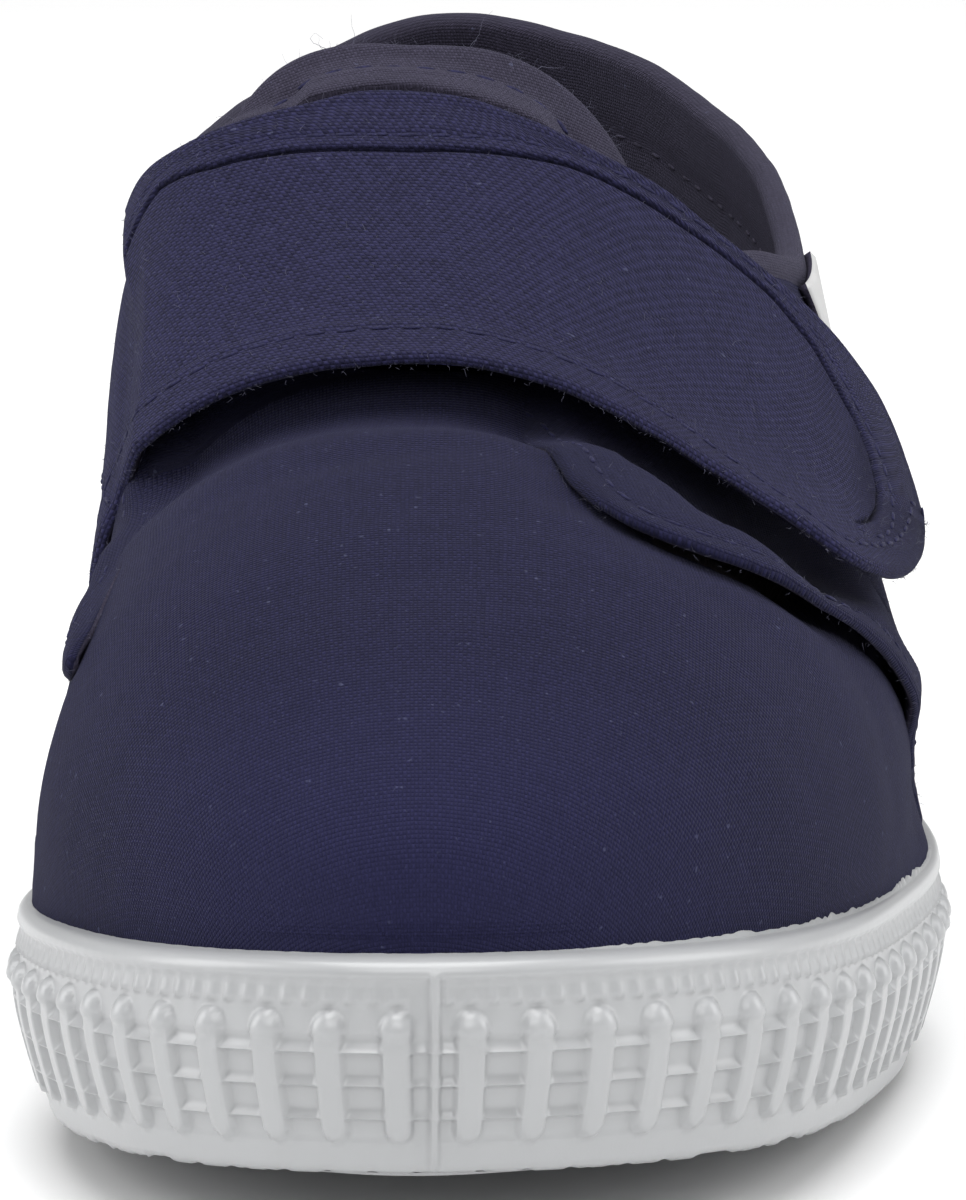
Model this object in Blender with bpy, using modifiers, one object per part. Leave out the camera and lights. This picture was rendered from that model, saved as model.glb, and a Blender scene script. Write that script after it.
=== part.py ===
"""Child's canvas shoe with one hook-and-loop strap, left foot, standing on its sole.

Axes: +X lateral side, -Y toe, +Y heel, +Z up. The ground is Z = 0 and the
origin is the middle of the sole's plan box. Units are metres.
"""
import math

import bmesh
import bpy
import numpy as np

# ---- driving dimensions (metres) ------------------------------------------
LENGTH = 0.172            # sole, toe to heel
BALL_WIDTH = 0.070        # sole, widest
INSTEP_HEIGHT = 0.070     # ground to the instep ridge under the strap's back edge
HEEL_HEIGHT = 0.066       # ground to the top of the collar at the heel
WALL_HEIGHT = 0.016       # sole side wall at the ball
HEEL_LIFT = 0.0025        # how much taller the side wall grows to the heel
TOE_SPRING = 0.0078       # toe tip above the ground
SPRING_FROM = 0.075       # distance behind the toe where the spring begins
SPRING_CURVE = 1.4        # power of the spring curve
ARCH_RISE = 0.0012        # waist of the sole above the ground
FLOOR_THICK = 0.0085      # sole under the insole at the ball
HEEL_FLOOR = 0.0022       # extra thickness of that floor under the heel
UPPER_WALL = 0.0018       # canvas and lining together
STRAP_THICK = 0.0014
TONGUE_THICK = 0.0018
INSOLE_THICK = 0.0030
PAD_THICK = 0.0006        # each half of the hook-and-loop closure
LABEL_THICK = 0.0010
FIT_GAP = 0.0003          # between seated pieces
TOE_POLE = 0.027          # the vamp's ridge starts this far behind the toe
HEEL_POLE = 0.030         # and the same in front of the heel
FAN_POWER = 3.0           # how quickly the sections turn round the two ends

EDGE_ROUND = 0.0006       # softened top edges of the sole's mouth and the insole
MOUTH_LIP = 0.0005        # how much narrower the sole's mouth is at its top
SIDE_BLEND = 0.010        # medial and lateral numbers blend over this at both ends
CORE_HEIGHT = 0.030       # a line inside the foot, used to tell out from in
INSOLE_EASE = 0.0003      # extra room round the insole

OUTLINE_POINTS = 112      # round the sole
OUTLINE_FINE = 4000       # round the sole, for measuring
INSOLE_POINTS = 72        # round the insole
PROFILE_STEPS = 11        # up one side of the upper
PATCH_STEPS = 6           # each way on the pads and the label
GIRTH_STEP = 0.01         # for the surface's normal
ALONG_STEP = 0.0005

# ---- plan of the sole: (across / half ball width, along / length) ----------
OUTLINE = (
    (-0.114, 0.0000), (0.414, 0.0465), (0.766, 0.1500), (0.957, 0.2936),
    (1.040, 0.4535), (0.871, 0.6512), (0.751, 0.8198), (0.443, 0.9547),
    (0.000, 1.0000), (-0.429, 0.9547), (-0.703, 0.8198), (-0.760, 0.6512),
    (-0.826, 0.4651), (-0.960, 0.2791), (-0.857, 0.1512), (-0.594, 0.0512),
)

# ---- side wall of the sole: part of the wall's height, inset from OUTLINE ---
WALL_PROFILE = (
    ("base", 0.00, 0.0030),
    ("tread edge", 0.05, 0.0023),
    ("lower wall", 0.28, 0.0011),
    ("widest", 0.60, 0.0000),
    ("upper wall", 0.84, 0.0002),
    ("rim", 0.95, 0.0006),
)

# ---- sections of the upper by distance from the toe (mm) -------------------
# rim: inset of the canvas where it leaves the sole. belly: inset and height
# over the rim of the fullest point, medial then lateral. square and round:
# the two powers of the section's curve, medial then lateral.
SECTIONS = np.array([
    # along rim belly_m belly_l high_m high_l square_m square_l round_m round_l
    (0.0, 2.8, 2.8, 2.8, 2.8, 2.8, 2.7, 2.7, 3.2, 3.2),
    (20.0, 2.4, 2.2, 2.2, 3.4, 3.4, 2.5, 2.4, 2.6, 2.6),
    (45.0, 1.5, 1.8, 1.0, 5.0, 4.0, 2.3, 2.1, 2.2, 2.2),
    (70.0, 1.3, 2.4, 2.6, 12.0, 6.0, 2.4, 1.8, 2.5, 2.2),
    (95.0, 1.4, 0.9, 2.2, 28.0, 9.0, 2.9, 2.4, 2.6, 2.2),
    (120.0, 1.6, 0.3, 0.9, 16.0, 10.0, 2.7, 2.3, 2.8, 2.9),
    (145.0, 1.8, 1.4, 1.2, 10.0, 10.0, 2.5, 2.4, 2.8, 2.8),
    (172.0, 2.2, 1.8, 1.8, 9.0, 9.0, 2.2, 2.2, 2.3, 2.3),
])

# ridge of the vamp and instep: along (mm), side shift (mm), up / instep height
RIDGE = np.array([
    (26.0, -3.0, 0.630), (40.0, -2.2, 0.690), (55.0, -2.0, 0.731),
    (68.0, -2.0, 0.763), (80.0, -3.0, 0.836), (90.0, -4.0, 0.913),
    (98.0, -4.5, 0.986), (106.0, -4.0, 1.071), (122.0, -1.5, 1.200),
    (142.0, 0.0, 1.286),
])

# opening of the upper: along (mm), up / heel height, medial then lateral
TOPLINE = np.array([
    (74.0, 0.847, 0.847), (78.0, 0.855, 0.852), (85.0, 0.880, 0.868),
    (92.0, 0.905, 0.880), (99.0, 0.905, 0.868), (106.0, 0.870, 0.838),
    (116.0, 0.853, 0.833), (130.0, 0.880, 0.876), (140.0, 0.905, 0.904),
    (152.0, 0.945, 0.942), (162.0, 0.985, 0.982), (172.0, 1.000, 1.000),
])
THROAT = 74.0

# strap, medial root to rounded lateral end: girth (-1 medial belly, 0 ridge,
# 1 lateral belly), front edge and back edge (mm from the toe), lift (mm)
STRAP = np.array([
    (-0.74, 75.2, 104.2, 0.0),
    (-0.62, 72.8, 103.4, 0.0), (-0.50, 70.8, 100.8, 0.0),
    (-0.38, 69.5, 98.8, 0.0), (-0.25, 68.2, 98.1, 0.0),
    (-0.12, 67.1, 98.4, 0.0), (0.00, 66.2, 99.0, 0.0),
    (0.12, 65.2, 98.3, 0.1), (0.22, 63.2, 96.6, 0.2),
    (0.30, 59.9, 94.8, 0.4), (0.38, 56.0, 93.4, 0.7),
    (0.46, 53.0, 92.7, 1.1), (0.54, 51.8, 92.8, 1.7),
    (0.61, 53.2, 93.3, 2.1), (0.67, 58.0, 93.4, 2.5),
    (0.70, 62.3, 92.7, 2.7), (0.72, 66.2, 91.3, 2.8),
    (0.74, 71.4, 88.6, 2.9), (0.752, 76.0, 85.2, 3.0),
])
STRAP_COLUMNS = 9
STRAP_ROOT_UP = 0.035     # height of the root's straight end
STRAP_ROOT_ROWS = 4

# tongue by distance from the toe (mm): girth half-width medial and lateral,
# and how far its face lies under the outside of the shoe (mm)
TONGUE = np.array([
    (63.0, 0.20, 0.22, 2.7), (67.0, 0.30, 0.30, 2.7), (75.0, 0.36, 0.32, 2.7),
    (83.0, 0.39, 0.33, 2.7), (90.0, 0.40, 0.33, 2.5), (96.0, 0.40, 0.32, 1.8),
    (100.0, 0.36, 0.29, 1.1), (102.5, 0.29, 0.24, 0.7), (104.2, 0.21, 0.17, 0.4),
    (105.0, 0.12, 0.10, 0.3),
])
TONGUE_COLUMNS = 10

# closure pads on the lateral side: girth range, along range (mm)
PAD_GIRTH = (0.58, 0.69)
PAD_ALONG = (61.0, 90.0)
PATCH_TRIM = (0.10, 0.02, 0.0, 0.0, 0.02, 0.10)   # corners cut off, part of the length
# bare side label on the lateral quarter: along range and height range (mm)
LABEL_ALONG = (104.0, 120.0)
LABEL_UP = (41.0, 54.0)

# tread grooves across the sole: (along, mm), width and depth (metres)
GROOVES = (14.0, 24.0, 34.0, 44.0, 54.0, 64.0, 84.0, 94.0, 136.0, 146.0, 156.0)
GROOVE_WIDTH = 0.0024
GROOVE_DEPTH = 0.0013

MATERIALS = {
    # name: (colour linear RGB, roughness, metallic)
    "navy_canvas": ((0.031, 0.031, 0.062), 0.92, 0.0),
    "white_rubber": ((0.60, 0.62, 0.63), 0.50, 0.0),
    "lining_cloth": ((0.018, 0.014, 0.020), 0.95, 0.0),
    "label_grey": ((0.46, 0.47, 0.47), 0.55, 0.0),
    "closure_navy": ((0.016, 0.016, 0.030), 0.98, 0.0),
}


# ---- curves ----------------------------------------------------------------
def smooth_step(low, high, value):
    """0 below low, 1 above high, smooth between."""
    part = np.clip((value - low) / (high - low), 0.0, 1.0)
    return part * part * (3.0 - 2.0 * part)


def cubic_through(xs, ys):
    """A natural cubic curve through (xs, ys), straight beyond both ends."""
    xs = np.asarray(xs, float)
    ys = np.asarray(ys, float)
    count = len(xs)
    step = np.diff(xs)
    left = np.eye(count)
    right = np.zeros(count)
    for i in range(1, count - 1):
        left[i, i - 1:i + 2] = (step[i - 1], 2.0 * (step[i - 1] + step[i]), step[i])
        rise = (ys[i + 1] - ys[i]) / step[i] - (ys[i] - ys[i - 1]) / step[i - 1]
        right[i] = 6.0 * rise
    left[0, :2] = (1.0, -1.0)
    left[-1, -2:] = (1.0, -1.0)
    bend = np.linalg.solve(left, right)
    first = (ys[1] - ys[0]) / step[0] - step[0] * (2.0 * bend[0] + bend[1]) / 6.0
    last = (ys[-1] - ys[-2]) / step[-1] + step[-1] * (bend[-2] + 2.0 * bend[-1]) / 6.0

    def curve(x):
        x = np.asarray(x, float)
        i = np.clip(np.searchsorted(xs, x) - 1, 0, count - 2)
        a = (xs[i + 1] - x) / step[i]
        b = 1.0 - a
        cubic = ((a ** 3 - a) * bend[i] + (b ** 3 - b) * bend[i + 1]) * step[i] ** 2 / 6.0
        value = a * ys[i] + b * ys[i + 1] + cubic
        value = np.where(x < xs[0], ys[0] + (x - xs[0]) * first, value)
        return np.where(x > xs[-1], ys[-1] + (x - xs[-1]) * last, value)

    return curve


def closed_curve(points, samples):
    """A smooth closed curve through points, as samples rows."""
    points = np.asarray(points, float)
    count = len(points)
    nxt = np.roll(points, -1, 0)
    step = np.sqrt(np.linalg.norm(nxt - points, axis=1))
    left = np.zeros((count, count))
    for i in range(count):
        left[i, i - 1] += step[i - 1]
        left[i, i] += 2.0 * (step[i - 1] + step[i])
        left[i, (i + 1) % count] += step[i]
    slope = (nxt - points) / step[:, None]
    bend = np.linalg.solve(left, 6.0 * (slope - np.roll(slope, 1, 0)))
    knots = np.concatenate([[0.0], np.cumsum(step)])
    t = np.linspace(0.0, knots[-1], samples + 1)[:-1]
    i = np.clip(np.searchsorted(knots, t, side="right") - 1, 0, count - 1)
    a = ((knots[i + 1] - t) / step[i])[:, None]
    b = 1.0 - a
    width = (step[i] ** 2)[:, None] / 6.0
    cubic = ((a ** 3 - a) * bend[i] + (b ** 3 - b) * np.roll(bend, -1, 0)[i]) * width
    return a * points[i] + b * nxt[i] + cubic


# ---- the last: one surface that every piece follows -------------------------
class Last:
    """The outside of the shoe, in metres, by outline arc and by girth."""

    def __init__(self):
        scale = np.array([BALL_WIDTH / 2.0, LENGTH])
        plan = closed_curve(np.array(OUTLINE) * scale, OUTLINE_FINE)
        self.middle = (plan[:, 0].min() + plan[:, 0].max()) / 2.0
        self.half = (plan[:, 1].min() + plan[:, 1].max()) / 2.0
        tangent = np.roll(plan, -1, 0) - np.roll(plan, 1, 0)
        tangent /= np.linalg.norm(tangent, axis=1)[:, None]
        normal = np.stack([tangent[:, 1], -tangent[:, 0]], 1)
        self.plan = np.vstack([plan, plan[:1]])
        self.normal = np.vstack([normal, normal[:1]])
        lengths = np.linalg.norm(np.diff(self.plan, axis=0), axis=1)
        self.arcs = np.concatenate([[0.0], np.cumsum(lengths)])
        self.girdle = self.arcs[-1]
        self.heel_arc = self.arcs[np.argmax(plan[:, 1])]
        along = SECTIONS[:, 0] * 0.001
        self.columns = [cubic_through(along, SECTIONS[:, k]) for k in range(SECTIONS.shape[1])]
        self.ridge_x = cubic_through(RIDGE[:, 0] * 0.001, RIDGE[:, 1] * 0.001)
        self.ridge_z = cubic_through(RIDGE[:, 0] * 0.001, RIDGE[:, 2] * INSTEP_HEIGHT)
        self.top_m = cubic_through(TOPLINE[:, 0] * 0.001, TOPLINE[:, 1] * HEEL_HEIGHT)
        self.top_l = cubic_through(TOPLINE[:, 0] * 0.001, TOPLINE[:, 2] * HEEL_HEIGHT)

    def outline_at(self, arc):
        """Point and outward normal on the plan outline."""
        arc = np.mod(arc, self.girdle)
        point = np.stack([np.interp(arc, self.arcs, self.plan[:, k]) for k in (0, 1)], -1)
        normal = np.stack([np.interp(arc, self.arcs, self.normal[:, k]) for k in (0, 1)], -1)
        return point, normal / np.linalg.norm(normal, axis=-1)[..., None]

    def arc_of(self, along, lateral):
        """Arc of the outline point a distance behind the toe, on one side."""
        plan_y = self.plan[:, 1]
        out = self.arcs <= self.heel_arc
        a = np.interp(along, plan_y[out], self.arcs[out])
        b = np.interp(along, plan_y[~out][::-1], self.arcs[~out][::-1])
        return np.where(lateral, a, b)

    def spring(self, along):
        return TOE_SPRING * np.clip(1.0 - along / SPRING_FROM, 0.0, 1.0) ** SPRING_CURVE

    def rim(self, along):
        return WALL_HEIGHT + self.spring(along) + HEEL_LIFT * smooth_step(0.12, LENGTH, along)

    def ground(self, along):
        waist = smooth_step(0.098, 0.110, along) * (1.0 - smooth_step(0.118, 0.130, along))
        back = 0.0010 * smooth_step(0.164, LENGTH, along)
        return self.spring(along) + ARCH_RISE * waist + back

    def floor(self, along):
        return FLOOR_THICK + self.spring(along) + HEEL_FLOOR * smooth_step(0.095, 0.145, along)

    def rim_inset(self, along):
        return self.columns[1](along) * 0.001

    def centre(self, along):
        """Where on the ridge the section that starts at along ends."""
        toe = (np.abs(along) ** FAN_POWER + TOE_POLE ** FAN_POWER) ** (1.0 / FAN_POWER)
        rest = np.clip(LENGTH - along, 0.0, None)
        heel = LENGTH - (rest ** FAN_POWER + HEEL_POLE ** FAN_POWER) ** (1.0 / FAN_POWER)
        part = smooth_step(0.06, 0.12, along)
        return toe * (1.0 - part) + heel * part

    def side(self, arc):
        """0 on the medial side, 1 on the lateral side, blended at both ends."""
        arc = np.mod(arc, self.girdle)
        signed = np.where(arc > self.girdle / 2.0, arc - self.girdle, arc)
        toe = smooth_step(-SIDE_BLEND, SIDE_BLEND, signed)
        heel = 1.0 - smooth_step(-SIDE_BLEND, SIDE_BLEND, arc - self.heel_arc)
        near_toe = np.minimum(arc, self.girdle - arc) < np.abs(arc - self.heel_arc)
        return np.where(near_toe, toe, heel)

    def section(self, arc):
        """All the numbers of the section that starts at arc on the outline."""
        point, normal = self.outline_at(arc)
        along = point[..., 1]
        side = self.side(arc)
        pick = []
        for k in (2, 4, 6, 8):
            pick.append(self.columns[k](along) * (1.0 - side) + self.columns[k + 1](along) * side)
        inset, high, square, rounding = pick
        belly = point - normal * (inset * 0.001)[..., None]
        foot = point - normal * self.rim_inset(along)[..., None]
        mid_y = self.centre(along)
        rise = self.ridge_z(mid_y + ALONG_STEP) - self.ridge_z(mid_y - ALONG_STEP)
        slope = rise / (2.0 * ALONG_STEP)
        return {
            "along": along, "belly": belly, "foot": foot, "high": high * 0.001,
            "square": square, "round": rounding, "mid_x": self.ridge_x(mid_y),
            "mid_y": mid_y, "mid_z": self.ridge_z(mid_y), "slope": slope,
        }

    def surface(self, arc, turn):
        """A point on the section: turn -1 at the rim, 0 at the belly, pi/2 on the ridge."""
        s = self.section(arc)
        angle = np.clip(turn, 0.0, math.pi / 2.0)
        reach = np.cos(angle) ** (2.0 / s["square"])
        climb = np.sin(angle) ** (2.0 / s["round"])
        part = np.clip(1.0 + turn, 0.0, 1.0)
        ease = np.sin(part * math.pi / 2.0)
        x = s["foot"][..., 0] + (s["belly"][..., 0] - s["foot"][..., 0]) * ease
        y = s["foot"][..., 1] + (s["belly"][..., 1] - s["foot"][..., 1]) * ease
        x = s["mid_x"] + (x - s["mid_x"]) * reach
        y = s["mid_y"] + (y - s["mid_y"]) * reach
        rim = self.rim(s["along"])
        top = s["mid_z"] + s["slope"] * (y - s["mid_y"])
        upper = rim + s["high"] + (top - rim - s["high"]) * climb
        z = np.where(turn < 0.0, rim + s["high"] * part, upper)
        return np.stack([x, y, z], -1)

    def turn_at(self, along, lateral, height):
        """The turn at which the section that starts at along reaches a height."""
        arc = self.arc_of(along, lateral)
        fine = np.linspace(0.0, math.pi / 2.0, 260)
        rise = self.surface(arc, fine)[:, 2]
        return float(np.interp(height, np.maximum.accumulate(rise), fine))

    def girth_at(self, along, lateral, height):
        """The girth of a height on one side, above or below the belly."""
        s = self.section(self.arc_of(along, lateral))
        part = (height - self.rim(s["along"])) / s["high"]
        if part < 1.0:
            girth = 2.0 - float(part)
        else:
            girth = 1.0 - self.turn_at(along, lateral, height) / (math.pi / 2.0)
        return girth if lateral else -girth

    def top_turn(self, along, lateral):
        """The turn at which the section reaches the opening of the upper."""
        height = self.top_l(along) if lateral else self.top_m(along)
        return self.turn_at(along, lateral, height)

    def by_girth(self, girth, along):
        """A point by girth (-1 medial belly, 0 ridge, 1 lateral belly)."""
        girth = np.asarray(girth, float)
        turn = np.where(np.abs(girth) <= 1.0, (1.0 - np.abs(girth)) * math.pi / 2.0,
                        1.0 - np.abs(girth))
        return self.surface(self.arc_of(along, girth >= 0.0), turn)

    def offset(self, girth, along, out):
        """by_girth moved out along the surface's own normal."""
        girth = np.asarray(girth, float)
        along = np.asarray(along, float)
        across = self.by_girth(girth + GIRTH_STEP, along) - self.by_girth(girth - GIRTH_STEP, along)
        down = self.by_girth(girth, along + ALONG_STEP) - self.by_girth(girth, along - ALONG_STEP)
        normal = np.cross(down, across)
        normal /= np.linalg.norm(normal, axis=-1)[..., None]
        point = self.by_girth(girth, along)
        core = np.full_like(along, CORE_HEIGHT)
        inside = np.stack([np.zeros_like(along), along, core], -1)
        sign = np.sign(((point - inside) * normal).sum(-1))
        return point + normal * (sign * out)[..., None]

    def place(self, point):
        """From last coordinates to the shoe's own frame."""
        point = np.array(point, float)
        point[..., 0] -= self.middle
        point[..., 1] -= self.half
        return point


# ---- Blender helpers --------------------------------------------------------
def clear_scene():
    for item in list(bpy.data.objects):
        bpy.data.objects.remove(item, do_unlink=True)
    for block in (bpy.data.meshes, bpy.data.materials, bpy.data.collections):
        for item in list(block):
            block.remove(item)


def make_collection(name):
    group = bpy.data.collections.new(name)
    bpy.context.scene.collection.children.link(group)
    return group


def make_material(name):
    colour, roughness, metallic = MATERIALS[name]
    material = bpy.data.materials.get(name) or bpy.data.materials.new(name)
    material.use_nodes = True
    shader = material.node_tree.nodes["Principled BSDF"]
    shader.inputs["Base Color"].default_value = (*colour, 1.0)
    shader.inputs["Roughness"].default_value = roughness
    shader.inputs["Metallic"].default_value = metallic
    material.diffuse_color = (*colour, 1.0)
    return material


def add_object(name, points, faces, group, material):
    """A named object from a point list and a face list."""
    data = bpy.data.meshes.new(name)
    data.from_pydata([tuple(p) for p in points], [], faces)
    data.materials.append(make_material(material))
    item = bpy.data.objects.new(name, data)
    group.objects.link(item)
    work = bmesh.new()
    work.from_mesh(data)
    bmesh.ops.recalc_face_normals(work, faces=work.faces)
    work.to_mesh(data)
    work.free()
    for face in data.polygons:
        face.use_smooth = True
    return item


def apply_modifiers(item):
    """Replace the object's mesh by its evaluated mesh."""
    graph = bpy.context.evaluated_depsgraph_get()
    solid = bpy.data.meshes.new_from_object(item.evaluated_get(graph))
    old = item.data
    item.modifiers.clear()
    item.data = solid
    name = old.name
    bpy.data.meshes.remove(old)
    solid.name = name
    for face in solid.polygons:
        face.use_smooth = True


def shell(item, thickness, outward):
    """Give an open sheet its thickness: outward keeps the sheet as the inner side."""
    wall = item.modifiers.new("wall", "SOLIDIFY")
    wall.thickness = thickness
    wall.offset = 1.0 if outward else -1.0
    wall.use_even_offset = True
    wall.use_quality_normals = True
    wall.use_rim = True
    apply_modifiers(item)


def face_out(points, faces):
    """Turn a sheet's faces so that their normals leave the foot."""
    points = np.asarray(points)
    score = 0.0
    for face in faces:
        a, b, c = (points[i] for i in face[:3])
        normal = np.cross(b - a, c - a)
        middle = (a + b + c) / 3.0
        inside = np.array([0.0, middle[1], CORE_HEIGHT])
        score += float(np.dot(normal, middle - inside))
    return faces if score > 0.0 else [tuple(reversed(face)) for face in faces]


def grid_faces(rows, columns, closed=False):
    """Quads of a rows x columns grid of points; closed joins the last column to the first."""
    faces = []
    for i in range(rows - 1):
        for j in range(columns if closed else columns - 1):
            k = (j + 1) % columns
            faces.append((i * columns + j, i * columns + k,
                          (i + 1) * columns + k, (i + 1) * columns + j))
    return faces


# ---- sole -------------------------------------------------------------------
def mirrored_arcs(last, count):
    """Arcs round the outline whose lateral and medial halves share their distances."""
    part = np.linspace(0.0, 1.0, count // 2 + 1)
    lateral = part * last.heel_arc
    medial = last.girdle - part * (last.girdle - last.heel_arc)
    return np.concatenate([lateral, medial[1:-1][::-1]])


def sole_ring(last, arcs, inset, height):
    """One level of the sole: an inset (or inset function) and a height function."""
    point, normal = last.outline_at(arcs)
    along = point[:, 1]
    amount = inset(along) if callable(inset) else np.full_like(along, inset)
    plan = point - normal * amount[:, None]
    return np.column_stack([plan, height(plan[:, 1])])


def ladder_cap(ring, height, rungs=4):
    """Close a ring by rungs from side to side; returns extra points and faces (ring first)."""
    count = len(ring)
    half = count // 2
    extra = []
    rows = []
    for i in range(1, half):
        a = ring[i]
        b = ring[count - i]
        row = [i]
        for k in range(1, rungs):
            p = a + (b - a) * (k / rungs)
            p = np.array([p[0], p[1], height(p[1])])
            row.append(count + len(extra))
            extra.append(p)
        row.append(count - i)
        rows.append(row)
    faces = []
    for a, b in zip(rows[0][:-1], rows[0][1:]):
        faces.append((0, a, b))
    for upper, lower in zip(rows[:-1], rows[1:]):
        for k in range(rungs):
            faces.append((upper[k], lower[k], lower[k + 1], upper[k + 1]))
    for a, b in zip(rows[-1][:-1], rows[-1][1:]):
        faces.append((half, b, a))
    return extra, faces


def stack_rings(rings, cap_low, cap_high):
    """A closed solid from rings listed bottom, outside, top, inside, floor."""
    count = len(rings[0])
    points = [p for ring in rings for p in ring]
    faces = grid_faces(len(rings), count, closed=True)
    low_extra, low_faces = cap_low
    base = len(points)
    points += low_extra
    faces += [tuple(i if i < count else base + i - count for i in f) for f in low_faces]
    start = (len(rings) - 1) * count
    high_extra, high_faces = cap_high
    base = len(points)
    points += high_extra
    faces += [tuple(start + i if i < count else base + i - count for i in f) for f in high_faces]
    return points, faces


def build_outsole(last, group, cutters):
    arcs = mirrored_arcs(last, OUTLINE_POINTS)
    rings = []
    for _, part, inset in WALL_PROFILE:
        def height(y, part=part):
            return last.ground(y) + (last.rim(y) - last.ground(y)) * part
        rings.append(sole_ring(last, arcs, inset, height))

    def mouth(extra):
        return lambda y: last.rim_inset(y) - FIT_GAP - extra

    rings.append(sole_ring(last, arcs, mouth(MOUTH_LIP), last.rim))
    rings.append(sole_ring(last, arcs, mouth(0.0), lambda y: last.rim(y) - EDGE_ROUND))
    rings.append(sole_ring(last, arcs, mouth(0.0), last.floor))
    cap_low = ladder_cap(rings[0], last.ground)
    cap_high = ladder_cap(rings[-1], last.floor)
    points, faces = stack_rings(rings, cap_low, cap_high)
    item = add_object("outsole", last.place(np.array(points)), faces, group, "white_rubber")
    cutter = build_grooves(last, cutters)
    cut = item.modifiers.new("tread", "BOOLEAN")
    cut.operation = "DIFFERENCE"
    cut.solver = "EXACT"
    cut.object = cutter
    apply_modifiers(item)
    return item


def build_grooves(last, cutters):
    """Cutting bars for the tread grooves, one object."""
    work = bmesh.new()
    for along in GROOVES:
        y = along * 0.001
        low = float(last.ground(y))
        tilt = math.atan2(float(last.ground(y + 0.001) - last.ground(y - 0.001)), 0.002)
        made = bmesh.ops.create_cube(work, size=1.0)["verts"]
        bmesh.ops.scale(work, vec=(BALL_WIDTH * 1.3, GROOVE_WIDTH, GROOVE_DEPTH * 4.0), verts=made)
        bmesh.ops.translate(work, vec=(0.0, 0.0, -GROOVE_DEPTH), verts=made)
        for vert in made:
            vy = vert.co.y
            vz = vert.co.z
            vert.co.y = vy * math.cos(tilt) - vz * math.sin(tilt)
            vert.co.z = vy * math.sin(tilt) + vz * math.cos(tilt)
        bmesh.ops.translate(work, vec=(0.0, y - last.half, low), verts=made)
    data = bpy.data.meshes.new("tread_cutter")
    work.to_mesh(data)
    work.free()
    cutter = bpy.data.objects.new("tread_cutter", data)
    cutter.hide_render = True
    cutter.display_type = "WIRE"
    cutters.objects.link(cutter)
    return cutter


def build_insole(last, group):
    arcs = mirrored_arcs(last, INSOLE_POINTS)

    def inset(y):
        return last.rim_inset(y) + UPPER_WALL + FIT_GAP + INSOLE_EASE

    def low(y):
        return last.floor(y) + FIT_GAP

    def high(y):
        return last.floor(y) + FIT_GAP + INSOLE_THICK

    rings = [
        sole_ring(last, arcs, inset, low),
        sole_ring(last, arcs, inset, lambda y: high(y) - EDGE_ROUND),
        sole_ring(last, arcs, lambda y: inset(y) + EDGE_ROUND, high),
    ]
    points, faces = stack_rings(rings, ladder_cap(rings[0], low), ladder_cap(rings[-1], high))
    return add_object("insole", last.place(np.array(points)), faces, group, "lining_cloth")


# ---- upper ------------------------------------------------------------------
def upper_stations(last):
    """Distances from the toe shared by both sides: close round the ends."""
    front = (0.0006, 0.0022, 0.0048, 0.0082, 0.0125, 0.0175, 0.0230)
    vamp = tuple(0.029 + 0.0056 * i for i in range(8))
    throat = (THROAT * 0.001,)
    quarter = tuple(0.0785 + 0.0052 * i for i in range(15))
    heel = (0.1555, 0.1595, 0.1630, 0.1660, 0.1685, 0.1703, 0.1715)
    return front + vamp + throat + quarter + heel


def upper_column(last, arc, top):
    """Points of one section from its lower edge in the sole up to top."""
    foot = last.surface(np.array(arc), np.array(-1.0))
    low = float(last.floor(foot[1])) + FIT_GAP
    column = [np.array([foot[0], foot[1], low])]
    middle = foot.copy()
    middle[2] = (low + foot[2]) / 2.0
    column.append(middle)
    column.append(foot)
    column.append(last.surface(np.array(arc), np.array(-0.5)))
    for turn in np.linspace(0.0, top, PROFILE_STEPS):
        column.append(last.surface(np.array(arc), np.array(turn)))
    return column


def build_upper(last, group):
    """Vamp and both quarters in one hollow shell, open at the collar and underneath."""
    stations = upper_stations(last)
    columns = []
    kinds = []
    columns.append(upper_column(last, 0.0, math.pi / 2.0))
    kinds.append("ridge")
    for lateral, order in ((True, stations), (False, stations[::-1])):
        if not lateral:
            columns.append(upper_column(last, last.heel_arc, last.top_turn(LENGTH, True)))
            kinds.append("open")
        for along in order:
            arc = float(last.arc_of(along, lateral))
            vamp = along <= THROAT * 0.001
            top = math.pi / 2.0 if vamp else last.top_turn(along, lateral)
            columns.append(upper_column(last, arc, top))
            kinds.append("ridge" if vamp else "open")
    points = []
    index = {}
    names = []
    for column, kind in zip(columns, kinds):
        row = []
        for k, point in enumerate(column):
            last_one = k == len(column) - 1
            if kind == "ridge" and last_one:
                key = "pole" if point[1] < TOE_POLE + 0.0005 else round(float(point[1]), 5)
                if key not in index:
                    index[key] = len(points)
                    points.append(point)
                row.append(index[key])
            else:
                row.append(len(points))
                points.append(point)
        names.append(row)
    faces = []
    count = len(names)
    for i in range(count):
        a = names[i]
        b = names[(i + 1) % count]
        for k in range(len(a) - 1):
            face = [a[k], b[k], b[k + 1], a[k + 1]]
            clean = []
            for vertex in face:
                if vertex not in clean:
                    clean.append(vertex)
            if len(clean) > 2:
                faces.append(tuple(clean))
    placed = last.place(np.array(points))
    item = add_object("upper", placed, face_out(placed, faces), group, "navy_canvas")
    shell(item, UPPER_WALL, outward=False)
    return item


# ---- tongue, strap, closure, label ------------------------------------------
def sheet(last, name, girth, along, out, thickness, group, material):
    """A curved plate over the last: grids of girth, along and distance out."""
    rows, columns = girth.shape
    points = last.place(last.offset(girth, along, out).reshape(-1, 3))
    faces = face_out(points, grid_faces(rows, columns))
    item = add_object(name, points, faces, group, material)
    shell(item, thickness, outward=True)
    return item


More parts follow.
